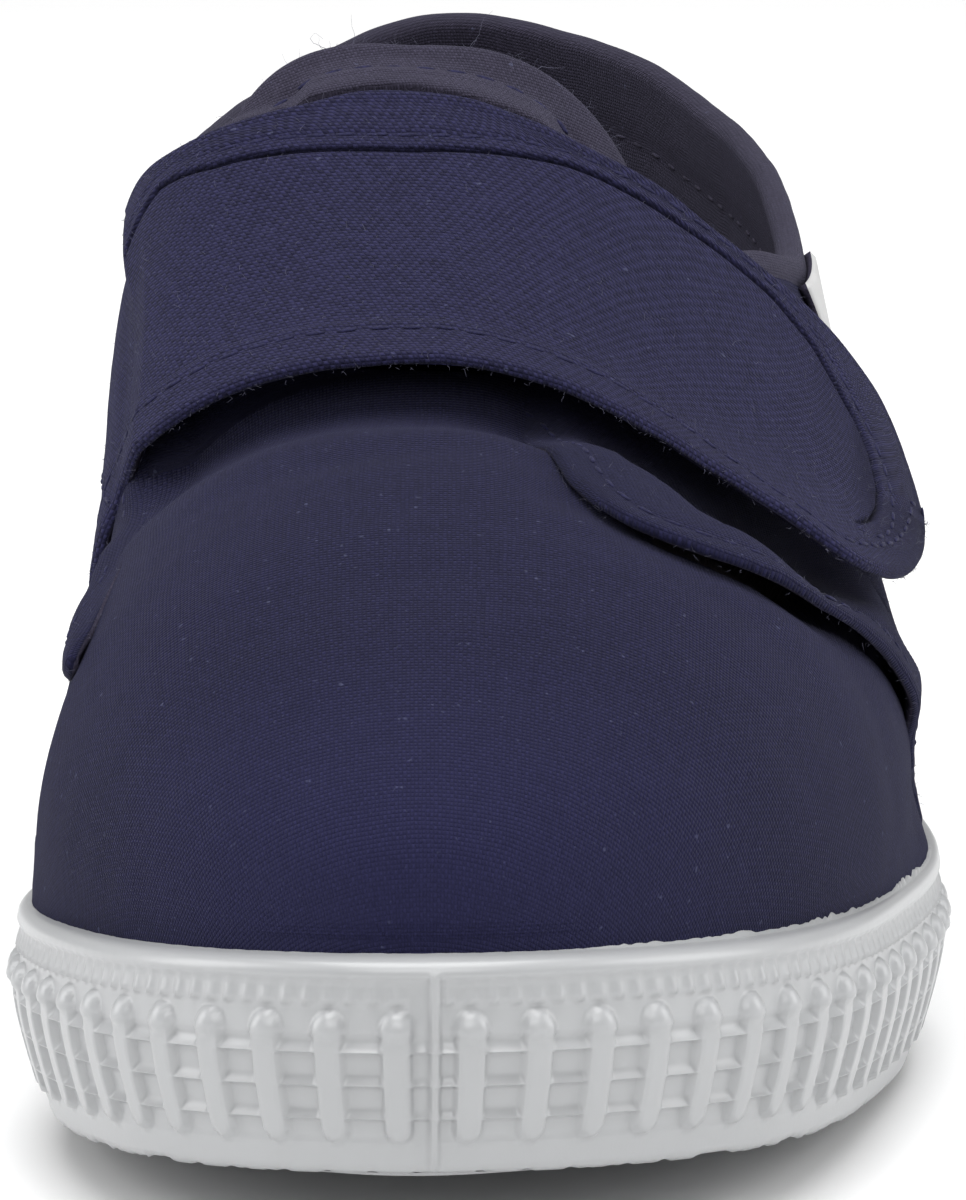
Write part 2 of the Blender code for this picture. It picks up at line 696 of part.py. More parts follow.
def build_tongue(last, group):
    along = TONGUE[:, 0] * 0.001
    part = np.linspace(-1.0, 1.0, TONGUE_COLUMNS + 1)
    girth = np.where(part[None] < 0.0, TONGUE[:, 1:2] * part[None], TONGUE[:, 2:3] * part[None])
    along = np.repeat(along[:, None], girth.shape[1], 1)
    out = np.repeat(-TONGUE[:, 3:4] * 0.001 - TONGUE_THICK, girth.shape[1], 1)
    return sheet(last, "tongue", girth, along, out, TONGUE_THICK, group, "navy_canvas")


def build_strap(last, group):
    part = np.linspace(0.0, 1.0, STRAP_COLUMNS)
    front = STRAP[:, 1:2] * 0.001
    back = STRAP[:, 2:3] * 0.001
    along = front + (back - front) * part[None]
    girth = np.repeat(STRAP[:, 0:1], STRAP_COLUMNS, 1)
    low = np.array([last.girth_at(y, False, STRAP_ROOT_UP) for y in along[0]])
    step = np.linspace(0.0, 1.0, STRAP_ROOT_ROWS + 1)[:-1, None]
    girth = np.vstack([low[None] + (girth[0][None] - low[None]) * step, girth])
    along = np.vstack([np.repeat(along[:1], STRAP_ROOT_ROWS, 0), along])
    lift = np.concatenate([np.zeros(STRAP_ROOT_ROWS), STRAP[:, 3]]) * 0.001
    out = np.repeat(lift[:, None] + FIT_GAP, STRAP_COLUMNS, 1)
    return sheet(last, "strap", girth, along, out, STRAP_THICK, group, "navy_canvas")


def build_patch(last, name, girths, alongs, out, thickness, group, material):
    """A small curved plate with cut corners."""
    girth = np.linspace(girths[0], girths[1], PATCH_STEPS)
    part = np.linspace(0.0, 1.0, PATCH_STEPS)
    trim = np.array(PATCH_TRIM)
    low, high = (value * 0.001 for value in alongs)
    along = low + (high - low) * (trim[:, None] + (1.0 - 2.0 * trim[:, None]) * part[None])
    girth = np.repeat(girth[:, None], PATCH_STEPS, 1)
    return sheet(last, name, girth, along, out(girth), thickness, group, material)


def build_closure(last, group):
    """The loop pad on the lateral quarter and the hook pad under the strap's end."""
    lift = cubic_through(STRAP[:, 0], STRAP[:, 3] * 0.001)

    def loop_out(girth):
        return np.full_like(girth, FIT_GAP)

    def hook_out(girth):
        return lift(girth) - PAD_THICK

    build_patch(last, "loop_pad", PAD_GIRTH, PAD_ALONG, loop_out, PAD_THICK, group, "closure_navy")
    build_patch(last, "hook_pad", PAD_GIRTH, PAD_ALONG, hook_out, PAD_THICK, group, "closure_navy")


def build_label(last, group):
    """The bare label: a flat plate bent round the lateral quarter below the collar."""
    alongs = np.linspace(*LABEL_ALONG, PATCH_STEPS) * 0.001
    heights = np.linspace(*LABEL_UP, PATCH_STEPS) * 0.001
    girth = np.zeros((PATCH_STEPS, PATCH_STEPS))
    for i, height in enumerate(heights):
        for j, along in enumerate(alongs):
            girth[i, j] = last.girth_at(along, True, height)
    along = np.repeat(alongs[None], PATCH_STEPS, 0)
    out = np.full_like(along, FIT_GAP)
    return sheet(last, "side_label", girth, along, out, LABEL_THICK, group, "label_grey")


def main():
    clear_scene()
    group = make_collection("strap_shoe")
    cutters = make_collection("cutters")
    cutters.hide_render = True
    last = Last()
    build_outsole(last, group, cutters)
    build_insole(last, group)
    build_upper(last, group)
    build_tongue(last, group)
    build_strap(last, group)
    build_closure(last, group)
    build_label(last, group)


main()
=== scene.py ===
"""Looks of a child's canvas strap shoe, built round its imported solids.

Every piece lies on one surface, the last: an outline walked by arc length and, at each arc, a
section from the sole's rim (turn -1) over the fullest point (turn 0) to the ridge (turn pi/2).
Sizes are in metres unless a name or a table says mm. +X outer side, -Y toe, +Z up.
"""
import math
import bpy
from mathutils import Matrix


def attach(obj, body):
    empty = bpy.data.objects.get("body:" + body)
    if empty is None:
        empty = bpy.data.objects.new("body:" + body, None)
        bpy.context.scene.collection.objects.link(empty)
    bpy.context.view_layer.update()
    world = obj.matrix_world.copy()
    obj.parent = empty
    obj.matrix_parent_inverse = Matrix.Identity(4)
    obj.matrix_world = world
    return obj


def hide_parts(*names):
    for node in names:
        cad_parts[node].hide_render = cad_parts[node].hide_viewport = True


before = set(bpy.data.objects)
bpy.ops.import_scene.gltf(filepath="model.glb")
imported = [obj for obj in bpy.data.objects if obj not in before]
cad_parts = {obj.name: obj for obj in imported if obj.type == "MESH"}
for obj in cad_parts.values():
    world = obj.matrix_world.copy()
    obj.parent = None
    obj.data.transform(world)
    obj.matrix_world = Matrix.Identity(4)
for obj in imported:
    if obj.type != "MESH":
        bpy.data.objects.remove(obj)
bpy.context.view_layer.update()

from types import SimpleNamespace

import bmesh
import bpy
import numpy as np
from mathutils import Matrix, Vector

bl_info = {
    "name": "Canvas Strap Shoe",
    "version": (1, 0, 0),
    "blender": (4, 5, 0),
    "location": "View3D > Sidebar > Shoe",
    "description": "Canvas, rubber, seams and stitches of a child's strap shoe",
    "category": "Object",
}

MM = 0.001
HALF_PI = math.pi / 2.0
TINY = 1e-12
EDGE_RADIUS = 0.0008     # of a folded edge of the canvas
SEAM_STEP = 0.0005

# ---- the last, as the solids have it -----------------------------------------
LENGTH = 0.172
BALL_WIDTH = 0.070
INSTEP_HEIGHT = 0.070
HEEL_HEIGHT = 0.066
WALL_HEIGHT = 0.016
HEEL_LIFT = 0.0025
TOE_SPRING = 0.0078
SPRING_FROM = 0.075
SPRING_CURVE = 1.4
ARCH_RISE = 0.0012
ARCH = (0.098, 0.110, 0.118, 0.130)     # where the waist lifts off and comes down
HEEL_BEVEL = 0.0010
FLOOR_THICK = 0.0085
HEEL_FLOOR = 0.0022
TOE_POLE = 0.027
HEEL_POLE = 0.030
FAN_POWER = 3.0          # how soon the sections fan out at toe and heel
SIDE_BLEND = 0.010
CORE_HEIGHT = 0.030      # of the middle of the foot
OUTLINE_POINTS = 4000
THROAT = 0.074           # the opening starts this far behind the toe

OUTLINE = (
    # across / half the ball width, along / length
    (-0.114, 0.0000), (0.414, 0.0465), (0.766, 0.1500), (0.957, 0.2936),
    (1.040, 0.4535), (0.871, 0.6512), (0.751, 0.8198), (0.443, 0.9547),
    (0.000, 1.0000), (-0.429, 0.9547), (-0.703, 0.8198), (-0.760, 0.6512),
    (-0.826, 0.4651), (-0.960, 0.2791), (-0.857, 0.1512), (-0.594, 0.0512),
)
SECTIONS = np.array([
    # along rim belly_m belly_l high_m high_l square_m square_l round_m round_l (mm and powers)
    (0.0, 2.8, 2.8, 2.8, 2.8, 2.8, 2.7, 2.7, 3.2, 3.2),
    (20.0, 2.4, 2.2, 2.2, 3.4, 3.4, 2.5, 2.4, 2.6, 2.6),
    (45.0, 1.5, 1.8, 1.0, 5.0, 4.0, 2.3, 2.1, 2.2, 2.2),
    (70.0, 1.3, 2.4, 2.6, 12.0, 6.0, 2.4, 1.8, 2.5, 2.2),
    (95.0, 1.4, 0.9, 2.2, 28.0, 9.0, 2.9, 2.4, 2.6, 2.2),
    (120.0, 1.6, 0.3, 0.9, 16.0, 10.0, 2.7, 2.3, 2.8, 2.9),
    (145.0, 1.8, 1.4, 1.2, 10.0, 10.0, 2.5, 2.4, 2.8, 2.8),
    (172.0, 2.2, 1.8, 1.8, 9.0, 9.0, 2.2, 2.2, 2.3, 2.3),
])
RIDGE = np.array([
    # along (mm), shift (mm), up / instep height
    (26.0, -3.0, 0.630), (40.0, -2.2, 0.690), (55.0, -2.0, 0.731),
    (68.0, -2.0, 0.763), (80.0, -3.0, 0.836), (90.0, -4.0, 0.913),
    (98.0, -4.5, 0.986), (106.0, -4.0, 1.071), (122.0, -1.5, 1.200),
    (142.0, 0.0, 1.286),
])
TOPLINE = np.array([
    # along (mm), up / heel height on the inner side, on the outer side
    (74.0, 0.847, 0.847), (78.0, 0.855, 0.852), (85.0, 0.880, 0.868),
    (92.0, 0.905, 0.880), (99.0, 0.905, 0.868), (106.0, 0.870, 0.838),
    (116.0, 0.853, 0.833), (130.0, 0.880, 0.876), (140.0, 0.905, 0.904),
    (152.0, 0.945, 0.942), (162.0, 0.985, 0.982), (172.0, 1.000, 1.000),
])
TOP_ROLL = np.array([
    # arc from the heel (mm), what the rolled collar and its slack take off the height (mm)
    (-60.0, 0.1), (-45.0, 0.4), (-30.0, 1.2), (-20.0, 1.3), (-14.0, 1.2), (-9.0, 0.7),
    (-4.0, 0.2), (0.0, 0.0), (4.0, 0.1), (9.0, 0.8), (13.0, 1.6), (18.0, 2.4), (22.0, 2.7),
    (27.0, 2.5), (31.0, 1.9), (36.0, 1.3), (45.0, 0.5), (60.0, 0.0),
])
STRAP = np.array([
    # girth, front edge, back edge (mm from the toe), lift (mm)
    (-0.74, 75.2, 104.2, 0.0),
    (-0.62, 72.8, 103.4, 0.0), (-0.50, 70.8, 100.8, 0.0),
    (-0.38, 69.5, 99.1, 0.0), (-0.25, 68.2, 98.5, 0.0),
    (-0.12, 67.1, 98.7, 0.0), (0.00, 66.2, 99.6, 0.0),
    (0.12, 65.2, 97.6, 0.1), (0.22, 63.2, 95.7, 0.2),
    (0.30, 59.9, 94.8, 0.4), (0.38, 56.0, 93.4, 0.7),
    (0.46, 53.0, 92.7, 1.1), (0.54, 51.8, 92.8, 1.7),
    (0.61, 53.2, 93.3, 2.1), (0.67, 58.0, 93.4, 2.5),
    (0.70, 62.3, 92.7, 2.7), (0.72, 66.2, 91.3, 2.8),
    (0.74, 71.4, 88.6, 2.9), (0.752, 76.0, 85.2, 3.0),
])
TONGUE = np.array([
    # along (mm), girth half-width inner, outer, depth under the outside (mm)
    (63.0, 0.20, 0.22, 2.7), (67.0, 0.30, 0.30, 2.7), (75.0, 0.36, 0.32, 2.7),
    (83.0, 0.39, 0.33, 2.7), (90.0, 0.40, 0.33, 2.5), (96.0, 0.40, 0.32, 1.8),
    (100.0, 0.36, 0.29, 1.1), (102.5, 0.29, 0.24, 0.7), (104.2, 0.21, 0.17, 0.4),
    (105.0, 0.12, 0.10, 0.3),
])

# ---- relief of the sole's wall (mm above the ground at the wall's foot) ---------
WALL_INSET = np.array([
    # height, inset
    (0.0, 3.0), (0.5, 2.5), (1.2, 2.1), (2.6, 1.65), (4.5, 1.1), (7.0, 0.45), (9.6, 0.0),
    (12.0, 0.05), (13.5, 0.2), (15.0, 0.4), (16.0, 0.6),
])
PITCH = 5.058            # from bar to bar
FIRST_OUTER = 4.39       # arc of the first bar on the outer side
FIRST_INNER = -1.02      # and on the inner side
MOULD_ARC = 1.76         # the mould's parting line at the toe
BAR_HALF = 1.06          # half a bar's width
DOME_HALF = 1.30
LIPS = (9.38, 6.88, 4.35)                # of the ledges between the bars
LIP_EDGE = 0.13          # each lip's rounding
BAR_FOOT = 3.45          # where a bar's round foot ends
BAR_TOP = 10.3           # where it widens to its dome
DOME_FROM = 10.9
LEDGE_RISE = 0.70        # height of a ledge's slope
POCKET = 0.62            # depth between the ledges
BAND = 0.46              # and of the bands over and under them


def smooth_step(low, high, value):
    part = np.clip((value - low) / (high - low), 0.0, 1.0)
    return part * part * (3.0 - 2.0 * part)


def fall_step(low, high, value):
    return 1.0 - smooth_step(low, high, value)


def plateau(low, full, still_full, high, value):
    """1 between full and still_full, easing to 0 at low and at high."""
    return smooth_step(low, full, value) * fall_step(still_full, high, value)


def bell(value, at, width):
    return np.exp(-((value - at) / width) ** 2)


def blended(part, first, second):
    return first * (1.0 - part) + second * part


def edge_roll(away, depth):
    """How far (m) a folded edge rounds off, away from it, to a depth in mm."""
    turn = np.clip(1.0 - away / EDGE_RADIUS, 0.0, 1.0)
    return depth * MM * (1.0 - np.sqrt(np.clip(1.0 - turn ** 2, 0.0, 1.0)))


def read_table(table, at, column=1):
    return np.interp(at, table[:, 0], table[:, column])


def unit(vectors):
    return vectors / np.maximum(np.linalg.norm(vectors, axis=-1), TINY)[..., None]


def length_walked(path):
    """The length walked along a path, point by point."""
    return np.concatenate([[0.0], np.cumsum(np.linalg.norm(np.diff(path, axis=0), axis=1))])


def columns_at(at, known, values):
    """Every column of values read at the same places."""
    return np.stack([np.interp(at, known, values[:, k]) for k in range(values.shape[1])], -1)


def cubic_pieces(a, bend, bend_next, step):
    b = 1.0 - a
    return ((a ** 3 - a) * bend + (b ** 3 - b) * bend_next) * step ** 2 / 6.0


def cubic_through(xs, ys):
    """A natural cubic curve through (xs, ys), straight beyond both ends."""
    xs = np.asarray(xs, float)
    ys = np.asarray(ys, float)
    count = len(xs)
    step = np.diff(xs)
    slope = np.diff(ys) / step
    left = np.eye(count)
    right = np.zeros(count)
    for i in range(1, count - 1):
        left[i, i - 1:i + 2] = (step[i - 1], 2.0 * (step[i - 1] + step[i]), step[i])
        right[i] = 6.0 * (slope[i] - slope[i - 1])
    left[0, :2] = (1.0, -1.0)
    left[-1, -2:] = (1.0, -1.0)
    bend = np.linalg.solve(left, right)
    first = slope[0] - step[0] * (2.0 * bend[0] + bend[1]) / 6.0
    last = slope[-1] + step[-1] * (bend[-2] + 2.0 * bend[-1]) / 6.0

    def curve(x):
        x = np.asarray(x, float)
        i = np.clip(np.searchsorted(xs, x) - 1, 0, count - 2)
        a = (xs[i + 1] - x) / step[i]
        value = a * ys[i] + (1.0 - a) * ys[i + 1] + cubic_pieces(a, bend[i], bend[i + 1], step[i])
        value = np.where(x < xs[0], ys[0] + (x - xs[0]) * first, value)
        return np.where(x > xs[-1], ys[-1] + (x - xs[-1]) * last, value)

    return curve


def closed_curve(points, samples):
    """A smooth closed curve through points, as samples rows."""
    count = len(points)
    after = np.roll(points, -1, 0)
    step = np.sqrt(np.linalg.norm(after - points, axis=1))
    left = np.zeros((count, count))
    for i in range(count):
        left[i, i - 1] += step[i - 1]
        left[i, i] += 2.0 * (step[i - 1] + step[i])
        left[i, (i + 1) % count] += step[i]
    slope = (after - points) / step[:, None]
    bend = np.linalg.solve(left, 6.0 * (slope - np.roll(slope, 1, 0)))
    knots = np.concatenate([[0.0], np.cumsum(step)])
    t = np.linspace(0.0, knots[-1], samples + 1)[:-1]
    i = np.clip(np.searchsorted(knots, t, side="right") - 1, 0, count - 1)
    a = ((knots[i + 1] - t) / step[i])[:, None]
    cubic = cubic_pieces(a, bend[i], np.roll(bend, -1, 0)[i], step[i][:, None])
    return a * points[i] + (1.0 - a) * after[i] + cubic


class Last:
    """The outside of the shoe by outline arc and turn, or by girth and along."""

    def __init__(self):
        plan = closed_curve(np.array(OUTLINE) * np.array([BALL_WIDTH / 2.0, LENGTH]),
                            OUTLINE_POINTS)
        self.middle, self.half = (plan.min(0) + plan.max(0)) / 2.0
        tangent = unit(np.roll(plan, -1, 0) - np.roll(plan, 1, 0))
        normal = np.stack([tangent[:, 1], -tangent[:, 0]], 1)
        self.plan = np.vstack([plan, plan[:1]])
        self.normal = np.vstack([normal, normal[:1]])
        self.arcs = length_walked(self.plan)
        self.girdle = self.arcs[-1]
        self.heel_arc = self.arcs[np.argmax(plan[:, 1])]
        self.columns = [cubic_through(SECTIONS[:, 0] * MM, column) for column in SECTIONS.T]
        self.ridge_x = cubic_through(RIDGE[:, 0] * MM, RIDGE[:, 1] * MM)
        self.ridge_z = cubic_through(RIDGE[:, 0] * MM, RIDGE[:, 2] * INSTEP_HEIGHT)
        self.top_m, self.top_l = (cubic_through(TOPLINE[:, 0] * MM, TOPLINE[:, k] * HEEL_HEIGHT)
                                  for k in (1, 2))

    def outline_at(self, arc):
        """Points of the sole's outline and their outward normals."""
        arc = np.mod(arc, self.girdle)
        point = columns_at(arc, self.arcs, self.plan)
        return point, unit(columns_at(arc, self.arcs, self.normal))

    def arc_of(self, along, lateral):
        plan_y = self.plan[:, 1]
        out = self.arcs <= self.heel_arc
        a = np.interp(along, plan_y[out], self.arcs[out])
        b = np.interp(along, plan_y[~out][::-1], self.arcs[~out][::-1])
        return np.where(lateral, a, b)

    def spring(self, along):
        return TOE_SPRING * np.clip(1.0 - along / SPRING_FROM, 0.0, 1.0) ** SPRING_CURVE

    def rim(self, along):
        return WALL_HEIGHT + self.spring(along) + HEEL_LIFT * smooth_step(0.12, LENGTH, along)

    def ground(self, along):
        back = HEEL_BEVEL * smooth_step(0.164, LENGTH, along)
        return self.spring(along) + ARCH_RISE * plateau(*ARCH, along) + back

    def floor(self, along):
        return FLOOR_THICK + self.spring(along) + HEEL_FLOOR * smooth_step(0.095, 0.145, along)

    def rim_inset(self, along):
        return self.columns[1](along) * MM

    def centre(self, along):
        """Where the section through a place on the outline meets the ridge."""
        toe = (np.abs(along) ** FAN_POWER + TOE_POLE ** FAN_POWER) ** (1.0 / FAN_POWER)
        rest = np.clip(LENGTH - along, 0.0, None)
        heel = LENGTH - (rest ** FAN_POWER + HEEL_POLE ** FAN_POWER) ** (1.0 / FAN_POWER)
        return blended(smooth_step(0.06, 0.12, along), toe, heel)

    def side(self, arc):
        """0 on the inner side, 1 on the outer, blended over the toe and the heel."""
        arc = np.mod(arc, self.girdle)
        signed = np.where(arc > self.girdle / 2.0, arc - self.girdle, arc)
        toe = smooth_step(-SIDE_BLEND, SIDE_BLEND, signed)
        heel = fall_step(-SIDE_BLEND, SIDE_BLEND, arc - self.heel_arc)
        near_toe = np.minimum(arc, self.girdle - arc) < np.abs(arc - self.heel_arc)
        return np.where(near_toe, toe, heel)

    def surface(self, arc, turn):
        """A point on the section: turn -1 at the rim, 0 at the belly, pi/2 on the ridge."""
        point, normal = self.outline_at(arc)
        along = point[..., 1]
        side = self.side(arc)
        inset, high, square, rounding = (
            blended(side, self.columns[k](along), self.columns[k + 1](along))
            for k in (2, 4, 6, 8))
        high = high * MM
        belly = point - normal * (inset * MM)[..., None]
        foot = point - normal * self.rim_inset(along)[..., None]
        mid_y = self.centre(along)
        mid = np.stack([self.ridge_x(mid_y), mid_y], -1)
        mid_z = self.ridge_z(mid_y)
        slope = (self.ridge_z(mid_y + 0.0005) - self.ridge_z(mid_y - 0.0005)) / MM
        angle = np.clip(turn, 0.0, HALF_PI)
        reach = np.cos(angle) ** (2.0 / square)
        climb = np.sin(angle) ** (2.0 / rounding)
        ease = np.sin(np.clip(1.0 + turn, 0.0, 1.0) * HALF_PI)
        plan = mid + (foot + (belly - foot) * ease[..., None] - mid) * reach[..., None]
        rim = self.rim(along)
        top = mid_z + slope * (plan[..., 1] - mid_y)
        over = rim + high + (top - rim - high) * climb
        z = np.where(turn < 0.0, rim + high * (1.0 + turn), over)
        return np.concatenate([plan, z[..., None]], -1)

    def turn_at(self, arc, height):
        """The turn, or turns, at which the section at an arc reaches a height."""
        fine = np.linspace(0.0, HALF_PI, 260)
        rise = self.surface(np.full_like(fine, arc), fine)[:, 2]
        return np.interp(height, np.maximum.accumulate(rise), fine)

    def top_girth(self, arcs):
        """The girth of the opening's edge at each arc."""
        found = []
        for arc in arcs:
            along = float(self.outline_at(arc)[0][1])
            height = blended(float(self.side(arc)), self.top_m(along), self.top_l(along))
            height -= read_table(TOP_ROLL, (arc - self.heel_arc) / MM) * MM
            found.append(1.0 - self.turn_at(arc, float(height)) / HALF_PI)
        return np.array(found)

    def at(self, arc, girth):
        """A point by arc and unsigned girth: 0 ridge, 1 belly, 2 rim."""
        girth = np.asarray(girth, float)
        turn = np.where(girth <= 1.0, (1.0 - girth) * HALF_PI, 1.0 - girth)
        return self.surface(arc, turn)

    def normal_at(self, arc, girth):
        """The outward unit normal by arc and unsigned girth."""
        girth = np.asarray(girth, float)
        across = self.at(arc, girth + 0.01) - self.at(arc, np.maximum(girth - 0.01, 0.0))
        ahead = self.at(arc + 0.0004, girth) - self.at(arc - 0.0004, girth)
        return unit(np.cross(across, ahead))

    def by_girth(self, girth, along):
        """A point and its normal by signed girth and along."""
        arc = self.arc_of(along, girth >= 0.0)
        return self.at(arc, np.abs(girth)), self.normal_at(arc, np.abs(girth))

    def opening(self, arc):
        """The unsigned girth where the upper ends: the ridge in front of the throat."""
        found = np.zeros(np.shape(arc))
        behind = self.outline_at(arc)[0][..., 1] > THROAT
        found[behind] = self.top_girth(arc[behind])
        return found

    def place(self, point):
        """From last coordinates to the shoe's own frame."""
        point = np.array(point, float)
        point[..., 0] -= self.middle
        point[..., 1] -= self.half
        return point


LAST = Last()


# ---- laying sheets ------------------------------------------------------------
def cumulative(points, axis):
    """Length walked along one axis of a grid."""
    step = np.linalg.norm(np.diff(points, axis=axis), axis=-1)
    zero = np.zeros_like(np.take(step, [0], axis=axis))
    return np.concatenate([zero, np.cumsum(step, axis=axis)], axis=axis)


def cloth_map(points, first=1):
    """A map of the cloth by the lengths walked along the grid's two axes."""
    return np.stack([cumulative(points, first), cumulative(points, 1 - first)], -1)


def edge_distance(points, path):
    """Distance of every grid point from a path, in metres."""
    flat = points.reshape(-1, 3)
    best = np.full(len(flat), np.inf)
    for a, b in zip(path[:-1], path[1:]):
        line = b - a
        t = np.clip((flat - a) @ line / max(float(line @ line), 1e-16), 0.0, 1.0)
        best = np.minimum(best, np.linalg.norm(flat - a - t[:, None] * line, axis=1))
    return best.reshape(points.shape[:2])


def resample(path, step):
    """Points every step along a path."""
    walked = length_walked(path)
    at = np.linspace(0.0, walked[-1], max(2, int(walked[-1] / step)))
    return columns_at(at, walked, path)


def ease_along(rows):
    """Every inner row averaged with its neighbours, in place."""
    rows[1:-1] = (rows[:-2] + 2.0 * rows[1:-1] + rows[2:]) / 4.0


def add_object(name, data):
    item = bpy.data.objects.new(name, data)
    bpy.context.scene.collection.objects.link(item)
    return item


def mesh_piece(name, work):
    """A finished bmesh as an object of its own."""
    mesh = bpy.data.meshes.new(name)
    work.to_mesh(mesh)
    work.free()
    return add_object(name, mesh)


def read_values(items, kind, width, dtype=float):
    """One property of every vertex, corner or face, width numbers each."""
    flat = np.empty(len(items) * width, dtype)
    items.foreach_get(kind, flat)
    return flat.reshape(-1, width)


def lay_grid(name, points, uv, weld=0.0, gap=None):
    """A mesh grid moved onto points (rows, columns, 3) in last coordinates.

    gap marks, 0 to 1, where the cloth lies deep between two edges; the canvas is painted nearly
    black there as painted shade and shows no weave.
    """
    last_cell = np.array(points.shape[1::-1]) - 1
    work = bmesh.new()
    bmesh.ops.create_grid(work, x_segments=last_cell[0], y_segments=last_cell[1], size=1.0)
    item = mesh_piece(name, work)
    mesh = item.data
    flat = read_values(mesh.vertices, "co", 3)[:, :2]
    low = flat.min(0)
    cell = np.rint((flat - low) / (flat.max(0) - low) * last_cell).astype(int)
    row, column = cell[:, 1], cell[:, 0]
    placed = LAST.place(points)[row, column]
    mesh.vertices.foreach_set("co", placed.astype(np.float32).ravel())
    corner = read_values(mesh.loops, "vertex_index", 1, np.int32)[:, 0]
    layer = mesh.uv_layers.new(name="cloth")
    layer.data.foreach_set("uv", uv[row, column][corner].astype(np.float32).ravel())
    # Painted shade: the gap values darken the canvas in deep crevices.
    if gap is not None:
        painted_shade_layer = mesh.attributes.new("gap", "FLOAT", "POINT")
        painted_shade_layer.data.foreach_set("value", gap[row, column].astype(np.float32).ravel())
    if weld:
        work = bmesh.new()
        work.from_mesh(mesh)
        bmesh.ops.remove_doubles(work, verts=work.verts, dist=weld)
        work.to_mesh(mesh)
        work.free()
    return item


def turn_faces(item, aim):
    """Turn a sheet's faces the way that aim gives for their centres."""
    normal, centre = (read_values(item.data.polygons, kind, 3) for kind in ("normal", "center"))
    if (aim(centre) * normal).sum() < 0.0:
        item.data.flip_normals()
    return item


def from_foot(centre):
    """The way out from the middle of the foot."""
    core = np.stack([centre[:, 0] * 0.0, centre[:, 1] * 0.9,
                     np.full(len(centre), CORE_HEIGHT)], 1)
    return centre - core


def finish_piece(item, look, replaced=()):
    """Material, smooth shading and the fixed frame's bookkeeping of one piece."""
    item.data.shade_smooth()
    item.data.materials.append(finish(look))
    if item.modifiers:
        item.data.materials.append(finish("cut_edge"))
    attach(item, "root")
    if replaced:
        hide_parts(*replaced)


def thicken(item, thickness):
    """A live wall grown inwards from the laid face; its edge takes the second material."""
    wall = item.modifiers.new("wall", "SOLIDIFY")
    wall.thickness = thickness
    wall.offset = -1.0
    wall.use_rim = True
    wall.material_offset_rim = 1
    return item


# ---- materials ------------------------------------------------------------------
class Finish:
    """A node material under construction, its patterns on Object coordinates."""

    def __init__(self, name):
        self.material = bpy.data.materials.new(name)
        self.material.use_nodes = True
        self.tree = self.material.node_tree
        self.bsdf = self.tree.nodes["Principled BSDF"]
        self.place = self.node("ShaderNodeTexCoord").outputs["Object"]

    def node(self, kind, inputs=(), **settings):
        made = self.tree.nodes.new(kind)
        for key, value in settings.items():
            setattr(made, key, value)
        for key, value in dict(inputs).items():
            self.feed(made.inputs[key], value)
        return made

    def feed(self, socket, value):
        if isinstance(value, bpy.types.NodeSocket):
            self.tree.links.new(value, socket)
        else:
            socket.default_value = value

    def math(self, operation, first, second=0.0, clamp=False):
        return self.node("ShaderNodeMath", {0: first, 1: second}, operation=operation,
                         use_clamp=clamp).outputs[0]

    def times(self, first, second, clamp=False):
        return self.math("MULTIPLY", first, second, clamp)

    def plus(self, total, value, gain):
        return self.math("ADD", total, self.times(value, gain))

    def rest(self, value):
        return self.math("SUBTRACT", 1.0, value)

    def noise(self, vector, scale, detail=2.0, roughness=0.5):
        return self.node("ShaderNodeTexNoise", {
            "Vector": vector, "Scale": scale, "Detail": detail,
            "Roughness": roughness}).outputs["Fac"]

    def pair(self, first, second):
        return self.node("ShaderNodeCombineXYZ", {0: first, 1: second}).outputs[0]

    def blend(self, factor, first, second):
        return self.node("ShaderNodeMix", {"Factor": factor, 6: first, 7: second},
                         data_type="RGBA").outputs[2]

    def ramp(self, value, low, high):
        """value taken from low..high to 0..1."""
        return self.node("ShaderNodeMapRange", {0: value, 1: low, 2: high},
                         clamp=True).outputs[0]

    def tones(self, value, low, high, base, dark, light):
        """base from a dark to a light gain as value goes from low to high."""
        return self.blend(self.ramp(value, low, high), colour(base, dark), colour(base, light))

    def bump(self, height, strength, distance):
        return self.node("ShaderNodeBump", {"Height": height, "Strength": strength,
                                            "Distance": distance}).outputs["Normal"]

    def set(self, **values):
        for key, value in values.items():
            self.feed(self.bsdf.inputs[key.replace("_", " ")], value)
        return self.material


def colour(rgb, gain=1.0):
    return (rgb[0] * gain, rgb[1] * gain, rgb[2] * gain, 1.0)


